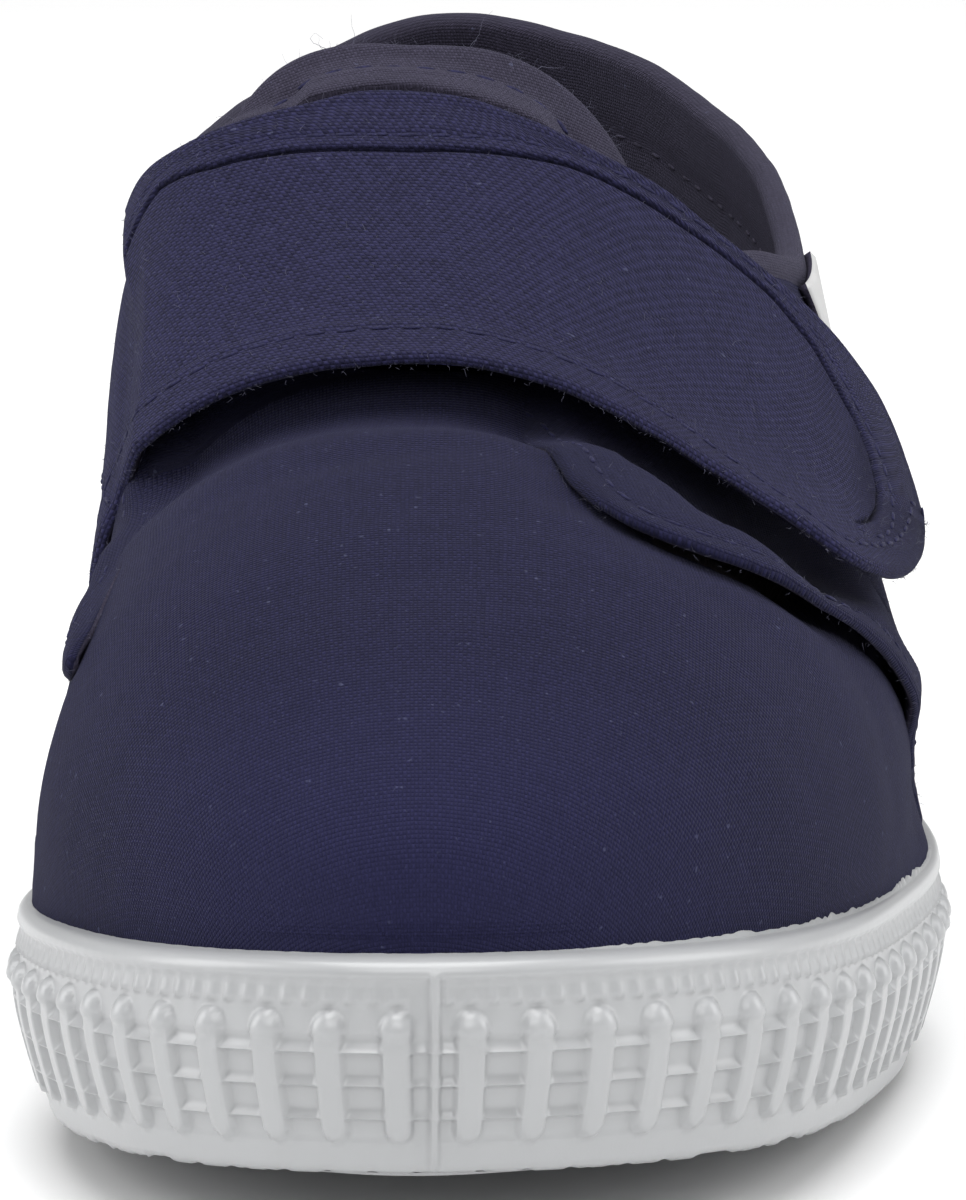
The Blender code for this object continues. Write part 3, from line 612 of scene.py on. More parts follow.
def canvas_finish(name, base, thread, weave_depth=0.00010, fuzz=0.055, contrast=1.0,
                  faded=0.0):
    """Plain-woven cotton: a thread crossing every thread[0] x thread[1] of the cloth map.

    The last argument gives how far the front of the toe is painted lighter, as painted light.
    """
    look = Finish(name)
    place = look.place
    cloth = look.node("ShaderNodeUVMap", uv_map="cloth").outputs[0]
    parts = look.node("ShaderNodeSeparateXYZ", {"Vector": cloth}).outputs
    u, v = (look.plus(look.math("DIVIDE", parts[k], thread[k]),
                      look.math("SUBTRACT", look.noise(where, scale, 1.0), 0.5), 0.9)
            for k, where, scale in ((0, cloth, 260.0), (1, place, 240.0)))
    across, down = (look.math("SINE", look.times(turn, math.pi)) for turn in (u, v))
    product = look.times(across, down)
    crossing = look.math("POWER", look.math("ABSOLUTE", product), 0.6)
    warp, weft = (look.noise(look.pair(look.times(u, fine), look.times(v, coarse)), 1.0)
                  for fine, coarse in ((0.9, 0.035), (0.035, 0.9)))
    speck = look.noise(place, 5200.0)
    cell = look.pair(look.math("FLOOR", u), look.math("FLOOR", v))
    each = look.node("ShaderNodeTexWhiteNoise", {"Vector": cell},
                     noise_dimensions="2D").outputs["Value"]
    tone = look.times(look.ramp(product, -0.5, 0.7), 0.50 * contrast)
    for value, gain in ((crossing, 0.26 * contrast),
                        (look.ramp(look.math("ADD", warp, weft), 0.7, 1.3), 0.24),
                        (look.ramp(speck, 0.35, 0.75), 0.22),
                        (look.ramp(look.noise(place, 55.0, 3.0), 0.3, 0.7), 0.10)):
        tone = look.plus(tone, value, gain)
    tone = look.times(tone, look.plus(0.62, each, 0.62), clamp=True)
    tint = look.blend(tone, colour(base, 0.42 / contrast), colour(base, 1.60 * contrast))
    lint = look.ramp(look.noise(place, 1500.0, 1.0), 0.735, 0.80)
    tint = look.blend(look.times(lint, 0.30), tint, colour(LINT))
    # Painted light: the canvas is painted lighter towards the front of the toe.
    reach = look.node("ShaderNodeSeparateXYZ", {"Vector": place}).outputs[1]
    toe_light_mask = look.rest(look.ramp(reach, *TOE_LIGHT_RAMP))
    tint = look.blend(look.times(toe_light_mask, faded), tint, colour(base, 2.6))
    # Painted shade: where the gap attribute marks a deep crevice, the colour is painted nearly
    # black and the weave bump is left out.
    gap = look.node("ShaderNodeAttribute", attribute_name="gap").outputs["Fac"]
    tint = look.blend(gap, tint, colour(base, 0.06))
    height = look.times(look.plus(crossing, speck, 0.5), look.rest(gap))
    return look.set(Base_Color=tint, Roughness=0.92, Normal=look.bump(height, 1.0, weave_depth),
                    Sheen_Weight=fuzz, Sheen_Roughness=0.42, Sheen_Tint=colour(BLOOM),
                    Specular_IOR_Level=0.10)


def rubber_finish(name, base):
    """Moulded rubber with a faint grain, pores, a little grime and one mark at the toe."""
    look = Finish(name)
    place = look.place
    cloud = look.noise(place, 70.0, 4.0, 0.6)
    grime = look.ramp(look.noise(place, 190.0, 6.0, 0.65), 0.60, 0.80)
    tint = look.tones(cloud, 0.3, 0.7, base, 0.965, 1.02)
    tint = look.blend(look.times(grime, 0.10), tint, (0.30, 0.29, 0.27, 1.0))
    spot = look.node("ShaderNodeVectorMath", {0: place, 1: GRIME_SPOT}, operation="DISTANCE")
    ragged = look.plus(spot.outputs["Value"], look.noise(place, 900.0), 0.0009)
    mark = look.rest(look.ramp(ragged, 0.0009, 0.0017))
    tint = look.blend(look.times(mark, 0.34), tint, (0.26, 0.27, 0.27, 1.0))
    grain = look.noise(place, 2600.0, 3.0, 0.6)
    return look.set(Base_Color=tint, Roughness=look.plus(0.27, cloud, 0.10),
                    Normal=look.bump(grain, 0.3, 0.00003), Specular_IOR_Level=0.80)


def thread_finish(name, base, gain=1.0):
    """Twisted sewing thread."""
    look = Finish(name)
    twist = look.noise(look.place, 3800.0)
    return look.set(Base_Color=look.tones(twist, 0.35, 0.65, base, 0.7 * gain, 1.4 * gain),
                    Roughness=0.75, Normal=look.bump(twist, 0.6, 0.00005), Sheen_Weight=0.04,
                    Specular_IOR_Level=0.12)


def label_finish(name, base):
    """A smooth bare label, a little yellowed at random."""
    look = Finish(name)
    cloud = look.noise(look.place, 160.0, 3.0)
    return look.set(Base_Color=look.tones(cloud, 0.3, 0.7, base, 0.92, 1.04),
                    Roughness=look.plus(0.42, cloud, 0.15), Specular_IOR_Level=0.3,
                    Normal=look.bump(look.noise(look.place, 3000.0), 0.3, 0.00003))


def pile_finish(name, base):
    """The looped or hooked face of the closure."""
    look = Finish(name)
    loops = look.node("ShaderNodeTexVoronoi", {"Vector": look.place,
                                               "Scale": 1500.0}).outputs["Distance"]
    return look.set(Base_Color=look.tones(loops, 0.1, 0.6, base, 0.8, 0.3), Roughness=0.95,
                    Normal=look.bump(loops, 1.0, 0.0003), Sheen_Weight=0.05)


def edge_finish(name, base):
    """The folded or cut edge of the cloth: close rough fibre without a clear weave."""
    look = Finish(name)
    fine = look.noise(look.place, 3000.0, 3.0, 0.6)
    return look.set(Base_Color=look.tones(fine, 0.35, 0.65, base, 0.6, 1.3), Roughness=0.95,
                    Normal=look.bump(fine, 0.8, 0.00012), Specular_IOR_Level=0.08)


def strand_finish(name, base):
    """Loose fibre."""
    look = Finish(name)
    shade = look.noise(look.place, 900.0)
    return look.set(Base_Color=look.tones(shade, 0.3, 0.7, base, 0.6, 1.3), Roughness=0.8,
                    Specular_IOR_Level=0.2)


LINING_THREAD = (0.00026, 0.00030)
LINT = (0.12, 0.13, 0.22)
BLOOM = (0.62, 0.62, 0.86)
TOE_LIGHT_RAMP = (-0.085, -0.064)      # from the painted light at the front of the toe to the plain colour
GRIME_SPOT = (-0.0231, -0.0795, 0.0145)
FINISHES = {}


def finish(name):
    """One shared material of each kind, made from the user's colours."""
    if name in FINISHES:
        return FINISHES[name]
    looks = bpy.context.scene.strap_shoe

    def canvas(base, across, along, **changes):
        return canvas_finish(name, base, (looks.thread_across * across,
                                          looks.thread_along * along), **changes)

    makers = {
        "canvas": lambda: canvas(looks.canvas_colour, 1.0, 1.0, contrast=0.85, faded=0.32),
        "strap_canvas": lambda: canvas(looks.strap_colour, 1.25, 1.08, contrast=1.25,
                                       weave_depth=0.00014),
        "tape": lambda: canvas(looks.tape_colour, 0.8, 0.8, contrast=0.8, fuzz=0.10),
        "lining": lambda: canvas_finish(name, looks.lining_colour, LINING_THREAD, fuzz=0.03,
                                        contrast=0.6),
        "rubber": lambda: rubber_finish(name, looks.rubber_colour),
        "thread": lambda: thread_finish(name, looks.canvas_colour, 1.25),
        "lining_thread": lambda: thread_finish(name, looks.tape_colour),
        "label": lambda: label_finish(name, looks.label_colour),
        "pile": lambda: pile_finish(name, looks.lining_colour),
        "strand": lambda: strand_finish(name, looks.strand_colour),
        "cut_edge": lambda: edge_finish(name, looks.tape_colour),
    }
    FINISHES[name] = makers[name]()
    return FINISHES[name]


# ---- sole -----------------------------------------------------------------------
# All in mm: the wall's columns from a bar's middle, and its rows over the ground.
COLUMN_OFFSETS = (0.0, 0.42, 0.84, 0.98, 1.18, 1.42, 1.686, 1.95, 2.25)
BARS = 48                # more than stand along either side
LEDGE_ROWS = (-LIP_EDGE, 0.0, 0.07, 0.25, 0.60, 0.95)     # about each lip
WALL_ROWS = sorted([round(lip + near, 2) for lip in LIPS for near in LEDGE_ROWS] + [
    0.0, 0.35, 0.8, 1.3, 1.9, 2.35, 2.55, 2.8, 3.1, 3.45, 3.9, 5.8, 6.3, 8.4, 9.0, 10.6,
    10.9, 11.2, 11.5, 11.8, 12.05, 12.2, 12.32, 12.42, 12.72, 12.85, 13.3, 13.9, 14.45, 14.7,
    14.95,
])
GROOVES = (14.0, 24.0, 34.0, 44.0, 54.0, 64.0, 84.0, 94.0, 136.0, 146.0, 156.0)   # in the tread
GROOVE_WIDTH = 2.4
GROOVE_DEPTH = 1.3
TREAD_INSET = 0.0058     # the flat tread's edge, from the sole's outline
TREAD_EDGE = 0.00022     # how far it lies up there
SOCK_INSET = 0.0024      # from the inside of the wall
SOCK_TOP = 0.00345       # over the sole's floor
SOCK_THICK = 0.0016


def wall_columns():
    """Arcs (mm) round the sole, close together at each bar's edges and at the mould line."""
    heel = LAST.heel_arc / MM
    girdle = LAST.girdle / MM
    arcs = [MOULD_ARC + np.array([-1.7, -1.5, -0.9, -0.45, -0.28, 0.0, 0.28, 0.45]),
            heel + np.array([-0.45, -0.28, 0.0, 0.28, 0.45])]
    spread = np.concatenate([-np.array(COLUMN_OFFSETS), COLUMN_OFFSETS])
    for first, step, low, high in (
            (FIRST_OUTER, PITCH, MOULD_ARC + 0.6, heel - 0.6),
            (FIRST_INNER, -PITCH, heel - girdle + 0.6, MOULD_ARC - 1.8)):
        side = np.add.outer(first + step * np.arange(BARS), spread).ravel()
        arcs.append(side[(side > low) & (side < high)])
    arcs = np.unique(np.round(np.concatenate(arcs), 4))
    arcs = arcs[np.concatenate([[True], np.diff(arcs) > 0.05])]
    return np.concatenate([arcs, [arcs[0] + girdle]])


def groove_lift(along_mm):
    """How far the tread rises (mm) at a distance from the toe."""
    near = np.abs(along_mm[..., None] - np.array(GROOVES)).min(-1)
    return GROOVE_DEPTH * fall_step(GROOVE_WIDTH * 0.4, GROOVE_WIDTH * 0.75, near)


def wall_relief(arc_mm, height):
    """Depth (mm, negative inwards) of the moulded pattern by arc and height over the tread."""
    heel = LAST.heel_arc / MM
    signed = np.where(arc_mm > heel, arc_mm - LAST.girdle / MM, arc_mm)
    phase = np.where(signed >= MOULD_ARC, signed - FIRST_OUTER, FIRST_INNER - signed)
    across = np.mod(phase + PITCH / 2.0, PITCH) - PITCH / 2.0
    reach = np.abs(across)
    # the ledges between the bars
    gap = np.full_like(height, -POCKET)
    for lip in LIPS:
        up = (height - lip) / LEDGE_RISE
        slope = -POCKET * np.clip(up, 0.0, 1.0) ** 0.85
        gap = np.where((height >= lip - LIP_EDGE) & (up <= 1.0), np.maximum(gap, slope), gap)
        gap = np.where(np.abs(height - (lip - LIP_EDGE)) < 0.02, -POCKET, gap)
    gap = np.where(height > 10.34, -BAND, gap)
    fade = smooth_step(2.35, 2.9, height)
    gap = np.where(height < LIPS[2] - 0.2, -BAND * (1.0 - fade) - POCKET * fade, gap)
    # the bars, round at the foot and wider under the domes
    bar = fall_step(0.90, 1.22, reach)
    foot = np.hypot(across / 1.15, np.clip(BAR_FOOT - height, 0.0, None) / 1.05)
    bar = np.where(height < BAR_FOOT, fall_step(0.82, 1.05, foot), bar)
    wide = BAR_HALF + (DOME_HALF - BAR_HALF) * smooth_step(BAR_TOP, DOME_FROM, height)
    bar = np.where((height > BAR_TOP) & (height <= DOME_FROM),
                   fall_step(wide - 0.1, wide + 0.14, reach), bar)
    # the domes and, over them, the ribs
    tip = (across / DOME_HALF) ** 2 + (
        (height - DOME_FROM) / np.where(height > DOME_FROM, 1.45, 0.80)) ** 2
    dome = -BAND + (BAND + 0.46) * np.sqrt(np.clip(1.0 - tip, 0.0, 1.0))
    rib_at = np.minimum(reach, np.abs(reach - PITCH / 3.0))
    rib = np.clip(1.0 - rib_at / 0.62, 0.0, 1.0) * (0.10 + 0.26 * smooth_step(14.6, 12.85, height))
    rib = np.where(height < 12.8, 0.0, rib)
    band = np.where(height > DOME_FROM, np.maximum(dome, -BAND + rib), np.maximum(
        gap * (1.0 - bar), np.where(tip < 1.0, dome, -1.0)))
    bead = smooth_step(14.4, 14.9, height)
    band = band * (1.0 - bead) * (1.0 - 0.6 * fall_step(0.3, 1.2, height))
    # the mould's parting lines at the toe and the heel
    mould = signed - MOULD_ARC
    hollow = np.where((height > 2.3) & (height < 14.4), 0.55 * gap - 0.32, band)
    band = blended(plateau(-1.75, -1.5, -0.42, -0.28, mould), band, hollow)
    line = np.maximum(*(fall_step(0.22, 0.42, np.abs(far)) for far in (mould, arc_mm - heel)))
    return band * (1.0 - line) + line * (0.06 - 0.10 * bead)


def rim_flash(arcs):
    """Ragged rubber drawn up over the canvas, mostly along the outer side of the toe."""
    rng = np.random.default_rng(11)
    coarse, fine = (np.interp(arcs, np.linspace(-250.0, 520.0, count), rng.random(count))
                    for count in (297, 1401))
    outer = plateau(12.0, 26.0, 74.0, 92.0, arcs)
    return (outer * (0.15 + 0.75 * coarse * fine ** 1.5) + 0.05 * fine) * MM


def build_wall():
    """The moulded side wall with its bars, ledges, domes, ribs, bead and parting line."""
    arcs = wall_columns()
    point, normal = LAST.outline_at(arcs * MM)
    along = point[:, 1]
    ground = LAST.ground(along)
    rim = LAST.rim(along)
    inset_at = cubic_through(WALL_INSET[:, 0], WALL_INSET[:, 1])
    wave = 0.10 * np.sin(arcs * 1.45) + 0.07 * np.sin(arcs * 3.3 + 1.0)
    lug = 0.22 * groove_lift(along / MM)
    lug = lug + np.clip(wave, 0.0, 1.0) * fall_step(60.0, 90.0, along / MM)
    rows = []

    def add_row(inset, z):
        rows.append(np.column_stack([point - normal * np.broadcast_to(inset, arcs.shape)[:, None],
                                     z]))

    for inset, lift in ((6.0, 0.25), (3.6, 0.1)):
        add_row(inset * MM, ground + (lug + lift) * MM)
    for height in WALL_ROWS:
        out = wall_relief(arcs, np.full_like(arcs, height)) - inset_at(height)
        add_row(-out * MM,
                ground + (rim - ground) * np.maximum(height, lug) / (WALL_HEIGHT / MM))
    edge = LAST.rim_inset(along)
    start = inset_at(WALL_ROWS[-1]) * MM
    for part in np.linspace(0.15, 1.0, 7):
        drop = 1.05 * MM * (1.0 - math.sqrt(max(0.0, 1.0 - (1.0 - part) ** 2.4)))
        add_row(start + (edge - 0.00022 - start) * part, rim - drop * (rim - ground) / WALL_HEIGHT)
    for inward, up, rise in ((-0.00016, 1.0, 0.0), (0.00045, 1.0, -0.0001), (0.0009, 0.0, -0.0012)):
        add_row(edge + inward, rim + rim_flash(arcs) * up + rise)
    grid = np.stack(rows)
    uv = np.stack([np.broadcast_to(arcs * MM, grid.shape[:2]), cumulative(grid, 0)], -1)
    return turn_faces(lay_grid("sole_wall", grid, uv, weld=1e-7), from_foot)


def plan_rows(inset, count, steps):
    """Rows from the inner to the outer side of the sole's plan, toe to heel."""
    part = 0.5 - 0.5 * np.cos(np.linspace(0.0, math.pi, count))
    t = np.linspace(0.0, 1.0, steps)[:, None]
    ends = []
    for arc in (LAST.girdle - part * (LAST.girdle - LAST.heel_arc), part * LAST.heel_arc):
        point, normal = LAST.outline_at(arc)
        ends.append((point - normal * inset(point[:, 1:]))[:, None])
    return ends[0] + (ends[1] - ends[0]) * t


def edge_share(plan):
    """0 at a row's ends, 0.5 in its middle."""
    t = np.linspace(0.0, 1.0, plan.shape[1])
    return np.broadcast_to(np.minimum(t, 1.0 - t), plan.shape[:2])


def lay_plan(name, plan, z, up):
    """A level sheet over a plan, its faces turned up (1) or down (-1)."""
    item = lay_grid(name, np.concatenate([plan, z[..., None]], -1), plan)
    return turn_faces(item, lambda centre: np.array((0.0, 0.0, up)))


def build_tread():
    """The underside with its cross grooves."""
    plan = plan_rows(lambda along: TREAD_INSET, 420, 34)
    along = plan[..., 1]
    lift = groove_lift(along / MM)
    z = LAST.ground(along) + lift * MM + TREAD_EDGE
    z = z - TREAD_EDGE * np.clip(1.0 - lift, 0.0, 1.0) * smooth_step(0.0, 0.12, edge_share(plan))
    return lay_plan("sole_tread", plan, z, -1.0)


def build_insole():
    """The sock: a thin pad, dished a little under heel and ball."""
    plan = plan_rows(lambda along: LAST.rim_inset(along) + SOCK_INSET, 200, 60)
    along = plan[..., 1]
    share = edge_share(plan)
    dish = 0.55 * MM * smooth_step(0.0, 0.30, share) * plateau(0.0, 0.010, 0.162, 0.170, along)
    z = LAST.floor(along) + SOCK_TOP - dish - 0.9 * MM * fall_step(0.0, 0.035, share)
    return thicken(lay_plan("insole_sock", plan, z, 1.0), SOCK_THICK)


# ---- canvas panels --------------------------------------------------------------
CANVAS_FOOT = 2.12       # girth at which the canvas ends, inside the sole's rim
HEM_STITCH = 0.0024      # from a quarter's edge
VAMP_THICK = 0.00075
LINING_DEPTH = 0.00185   # of the lining's face under the outside
OVERLAP_DEPTH = 0.0009   # of the vamp under a quarter
STRAP_DENT = (3.3, 2.3)  # mm, under the strap over the ridge and beside it
SEAMS = {}               # what the sewing and the fibres need: sheet, normals and edge


def tucked(girth, along):
    """How far (m) the vamp and the front of the quarters sink where the strap crosses."""
    mm = along / MM
    front = read_table(STRAP, girth, 1) - np.interp(girth, (0.12, 0.30), (13.0, 9.0))
    back = read_table(STRAP, girth, 2)
    sink = plateau(front, front + 14.5, back - 14.0, back - 2.0, mm)
    sink = sink * fall_step(0.60, 0.78, girth) * fall_step(0.55, 0.72, -girth)
    return np.interp(girth, (0.10, 0.40), STRAP_DENT) * MM * sink


def ripple(point, seed, size):
    """Soft hand-sized unevenness, -1..1, the same every run."""
    rng = np.random.default_rng(seed)
    total = np.zeros(point.shape[:-1])
    for _ in range(7):
        wave = rng.normal(size=3)
        wave *= 2.0 * math.pi / size / np.linalg.norm(wave) * rng.uniform(0.6, 1.6)
        total += np.sin(point @ wave + rng.uniform(0.0, 6.28))
    return total / 4.0


def folds(table, girth, along_mm):
    """Soft hollows and swellings (mm) laid one by one.

    Each row gives (girth, along mm), (size across, size along), turn and height (mm).
    """
    total = np.zeros(girth.shape)
    for at, size, turn, amount in table:
        a = (girth - at[0]) / size[0]
        b = (along_mm - at[1]) / size[1]
        c, s = math.cos(turn), math.sin(turn)
        total = total + amount * np.exp(-((a * c + b * s) ** 2) - ((b * c - a * s) ** 2))
    return total


VAMP_FOLDS = (
    ((-0.10, 50.0), (0.34, 3.0), 0.0, -0.25),
    ((0.42, 35.5), (0.30, 3.2), 0.1, -0.25),
    ((0.80, 47.5), (0.30, 3.4), 0.2, -0.28),
    ((-0.62, 45.0), (0.25, 3.4), -0.2, -0.22),
    ((-0.30, 30.0), (0.40, 6.0), 0.3, 0.22),
    ((-0.82, 48.5), (0.13, 6.5), 0.0, -0.85),
)


def overlapped(girth, along):
    """How far (m) the vamp lies in where a quarter covers it."""
    total = np.zeros(girth.shape)
    for table, side, low, high in ((OUTER_DOWN, 1.0, 0.24, 0.34), (INNER_DOWN, -1.0, 0.66, 0.74)):
        turn = girth * side
        past = along / MM - read_table(table, turn)
        valley = smooth_step(-5.0, 2.0, past) * plateau(0.08, 0.20, 0.62, 0.86, turn)
        total = total + smooth_step(1.2, 4.0, past) * smooth_step(low, high, turn)
        total = total + valley * (side > 0.0)
    return OVERLAP_DEPTH * total


def stretch_lines(girth, along):
    """Pulled threads (mm) lying across the front of the toe, just above the sole."""
    total = np.zeros(girth.shape)
    for at, length, height in ((1.60, 0.9, 0.07), (1.52, 1.3, 0.09), (1.43, 1.0, 0.08),
                               (1.34, 1.2, 0.06), (1.24, 0.7, 0.05)):
        total = total + height * bell(np.abs(girth), at, 0.014) * smooth_step(
            5.0 * length, 2.0 * length, along / MM)
    return total


def half_stations(ends, counts):
    """Outer arcs from the toe back, and their distances from the toe."""
    parts = [np.linspace(a, b, n, endpoint=False) for a, b, n in zip(ends[:-1], ends[1:], counts)]
    arc = np.concatenate(parts + [[ends[-1]]])
    return arc, LAST.outline_at(arc)[0][:, 1]


def half_shell(arc, along, low, high, count):
    """One side's grid between two girths, seen from the middle of the foot."""
    girth = low[:, None] + (high - low)[:, None] * np.linspace(0.0, 1.0, count)[None]
    arcs = np.repeat(arc[:, None], count, 1)
    wide = np.repeat(along[:, None], count, 1)
    point = LAST.at(arcs, girth)
    core = np.stack([np.full(girth.shape, LAST.middle), np.clip(wide, 0.030, 0.145),
                     np.full(girth.shape, CORE_HEIGHT)], -1)
    return girth, arcs, wide, point, unit(point - core)


def join_pieces(name, items):
    """Several laid sheets as one mesh, their shared edges welded."""
    work = bmesh.new()
    for item in items:
        work.from_mesh(item.data)
        bpy.data.meshes.remove(item.data)
    bmesh.ops.remove_doubles(work, verts=work.verts, dist=4e-6)
    bmesh.ops.dissolve_degenerate(work, edges=work.edges, dist=1e-7)
    bmesh.ops.recalc_face_normals(work, faces=work.faces)
    return mesh_piece(name, work)


def build_vamp():
    """The one-piece vamp, from sole to sole over the toe and back under the strap."""
    outer_arc, along = half_stations((0.0, 0.006, 0.045, float(LAST.arc_of(0.099, True))),
                                     (16, 76, 90))
    halves = []
    for side, arc in ((1.0, outer_arc), (-1.0, LAST.arc_of(along, False))):
        girth, _, wide, point, out = half_shell(arc, along, LAST.opening(arc), CANVAS_FOOT, 104)
        signed = girth * side
        relief = 0.10 * ripple(point, 3, 0.021) + 0.045 * ripple(point, 5, 0.008)
        relief = relief + folds(VAMP_FOLDS, signed, wide / MM) + stretch_lines(signed, wide)
        relief = relief * MM * smooth_step(2.0, 1.75, girth)
        placed = point + out * (relief - tucked(signed, wide) - overlapped(signed, wide))[..., None]
        mid = LAST.centre(wide)
        ridge = np.stack([LAST.ridge_x(mid), mid], -1)
        away = point[..., :2] - ridge
        size = np.linalg.norm(away, axis=-1)[..., None]
        aim = np.where(size > 1e-5, away / np.maximum(size, 1e-9), (side, 0.0))
        halves.append(lay_grid("vamp_half", placed, ridge + aim * cumulative(point, 1)[..., None]))
    return thicken(turn_faces(join_pieces("vamp", halves), from_foot), VAMP_THICK)


def build_lining():
    """The inside: toe box, sides and heel down to the sock."""
    outer_arc, along = half_stations((0.0, 0.006, 0.05, LAST.heel_arc - 0.02, LAST.heel_arc),
                                     (8, 34, 96, 20))
    inner_arc = LAST.arc_of(along, False)
    inner_arc[-1] = LAST.heel_arc
    halves = []
    for side, arc in ((1.0, outer_arc), (-1.0, inner_arc)):
        top = LAST.opening(arc)
        girth, arcs, wide, point, out = half_shell(arc, along, top + 0.02 * (top > 0.0), 2.0, 72)
        normal = LAST.outline_at(arcs)[1]
        level = np.concatenate([normal, np.zeros_like(normal[..., :1])], -1)
        out = blended(smooth_step(1.0, 1.4, girth)[..., None], out, level)
        placed = point - out * (LINING_DEPTH + tucked(girth * side, wide))[..., None]
        skirt = [placed[:, -1:] - np.array([0.0, 0.0, down]) for down in (0.0015, 0.003, 0.0052)]
        placed = np.concatenate([placed] + skirt, 1)
        halves.append(lay_grid("lining_half", placed, cloth_map(placed, 0)))
    return turn_faces(join_pieces("lining", halves), lambda centre: -from_foot(centre))


# Quarter edges: the upper edge (along mm, girth) back from the front corner, and the front
# edge (girth, along mm) down from that corner.
OUTER_EDGE = np.array([(42.2, 0.210), (44.5, 0.190), (47.0, 0.176), (54.8, 0.160), (60.2, 0.155),
                       (66.0, 0.140), (74.0, 0.08)])
INNER_EDGE = np.array([(41.0, 0.645), (44.8, 0.608), (50.5, 0.582), (56.0, 0.568), (61.5, 0.570),
                       (68.0, 0.600), (76.0, 0.660), (80.0, 0.660), (84.0, 0.60), (90.0, 0.45)])
OUTER_DOWN = np.array([(0.210, 42.2), (0.237, 40.4), (0.27, 39.4), (0.34, 38.9), (0.405, 39.5),
                       (0.48, 41.5), (0.525, 43.0), (0.58, 45.2), (0.64, 48.2), (0.71, 52.6),
                       (0.78, 57.0), (0.845, 60.5), (0.89, 63.5), (0.95, 67.0), (1.05, 71.0),
                       (1.20, 74.0), (1.60, 78.0), (2.12, 80.0)])
INNER_DOWN = np.array([(0.660, 41.0), (0.680, 40.3), (0.704, 41.5), (0.728, 44.5), (0.752, 49.0),
                       (0.768, 54.0), (0.79, 60.5), (0.88, 65.5), (1.05, 68.5), (1.30, 70.0),
                       (1.70, 71.0), (2.12, 71.0)])
HEM_WIDE = 6.2 * MM
QUARTER_THICK = 0.0009
HEM_RAISED = 0.30        # mm, a hem over its panel
STITCH_SINK = 0.16       # mm, how far a row of stitches draws the cloth in
STITCH_HALF = 0.0005     # half the width drawn in
# merge: where the top edge runs into the opening (mm). hem_end: the hem's end under the strap.
# proud: the hem's height over the vamp (mm). runs_out: girths where the front edge sinks to the
# sole. lies_down: how far before the strap it lies flat (mm). emerges: girths over which its
# corner comes out from deep (mm) under the vamp.
OUTER_QUARTER = SimpleNamespace(
    name="quarter_outer", down=OUTER_DOWN, top=OUTER_EDGE, merge=(66.0, 76.0), hem_end=0.079,
    proud=1.25, runs_out=(0.86, 0.98), lies_down=5.0, emerges=(0.10, 0.24), deep=0.8, seed=8,
    outer=True, folds=(((0.95, 66.0), (0.5, 3.2), 0.25, -0.30),
                       ((0.75, 110.0), (0.3, 9.0), 0.3, -0.22),
                       ((1.3, 80.0), (0.6, 4.0), -0.2, 0.20)))
INNER_QUARTER = SimpleNamespace(
    name="quarter_inner", down=INNER_DOWN, top=INNER_EDGE, merge=(84.0, 92.0), hem_end=0.080,
    proud=1.0, runs_out=(0.65, 0.74), lies_down=11.0, emerges=(0.60, 0.69), deep=0.0, seed=9,
    outer=False, folds=(((1.0, 58.0), (0.5, 3.4), -0.2, -0.28),
                        ((0.9, 104.0), (0.4, 7.0), 0.2, -0.2)))


def even_table(table, count, girth_first=True):
    """A table resampled by its own length, a whole girth taken as 50 mm."""
    scale = np.array([50.0, 1.0] if girth_first else [1.0, 50.0])
    walked = length_walked(table * scale)
    return columns_at(np.linspace(0.0, walked[-1], count), walked, table)


def rounded(path, width):
    """A path with its corners eased and its ends kept."""
    kernel = np.hanning(width * 2 + 3)[1:-1]
    kernel /= kernel.sum()
    padded = np.concatenate([2 * path[:1] - path[1:width + 1][::-1], path,
                             2 * path[-1:] - path[-width - 1:-1][::-1]])
    eased = np.stack([np.convolve(padded[:, k], kernel, "valid") for k in (0, 1)], -1)
    eased[[0, -1]] = path[[0, -1]]
    return eased


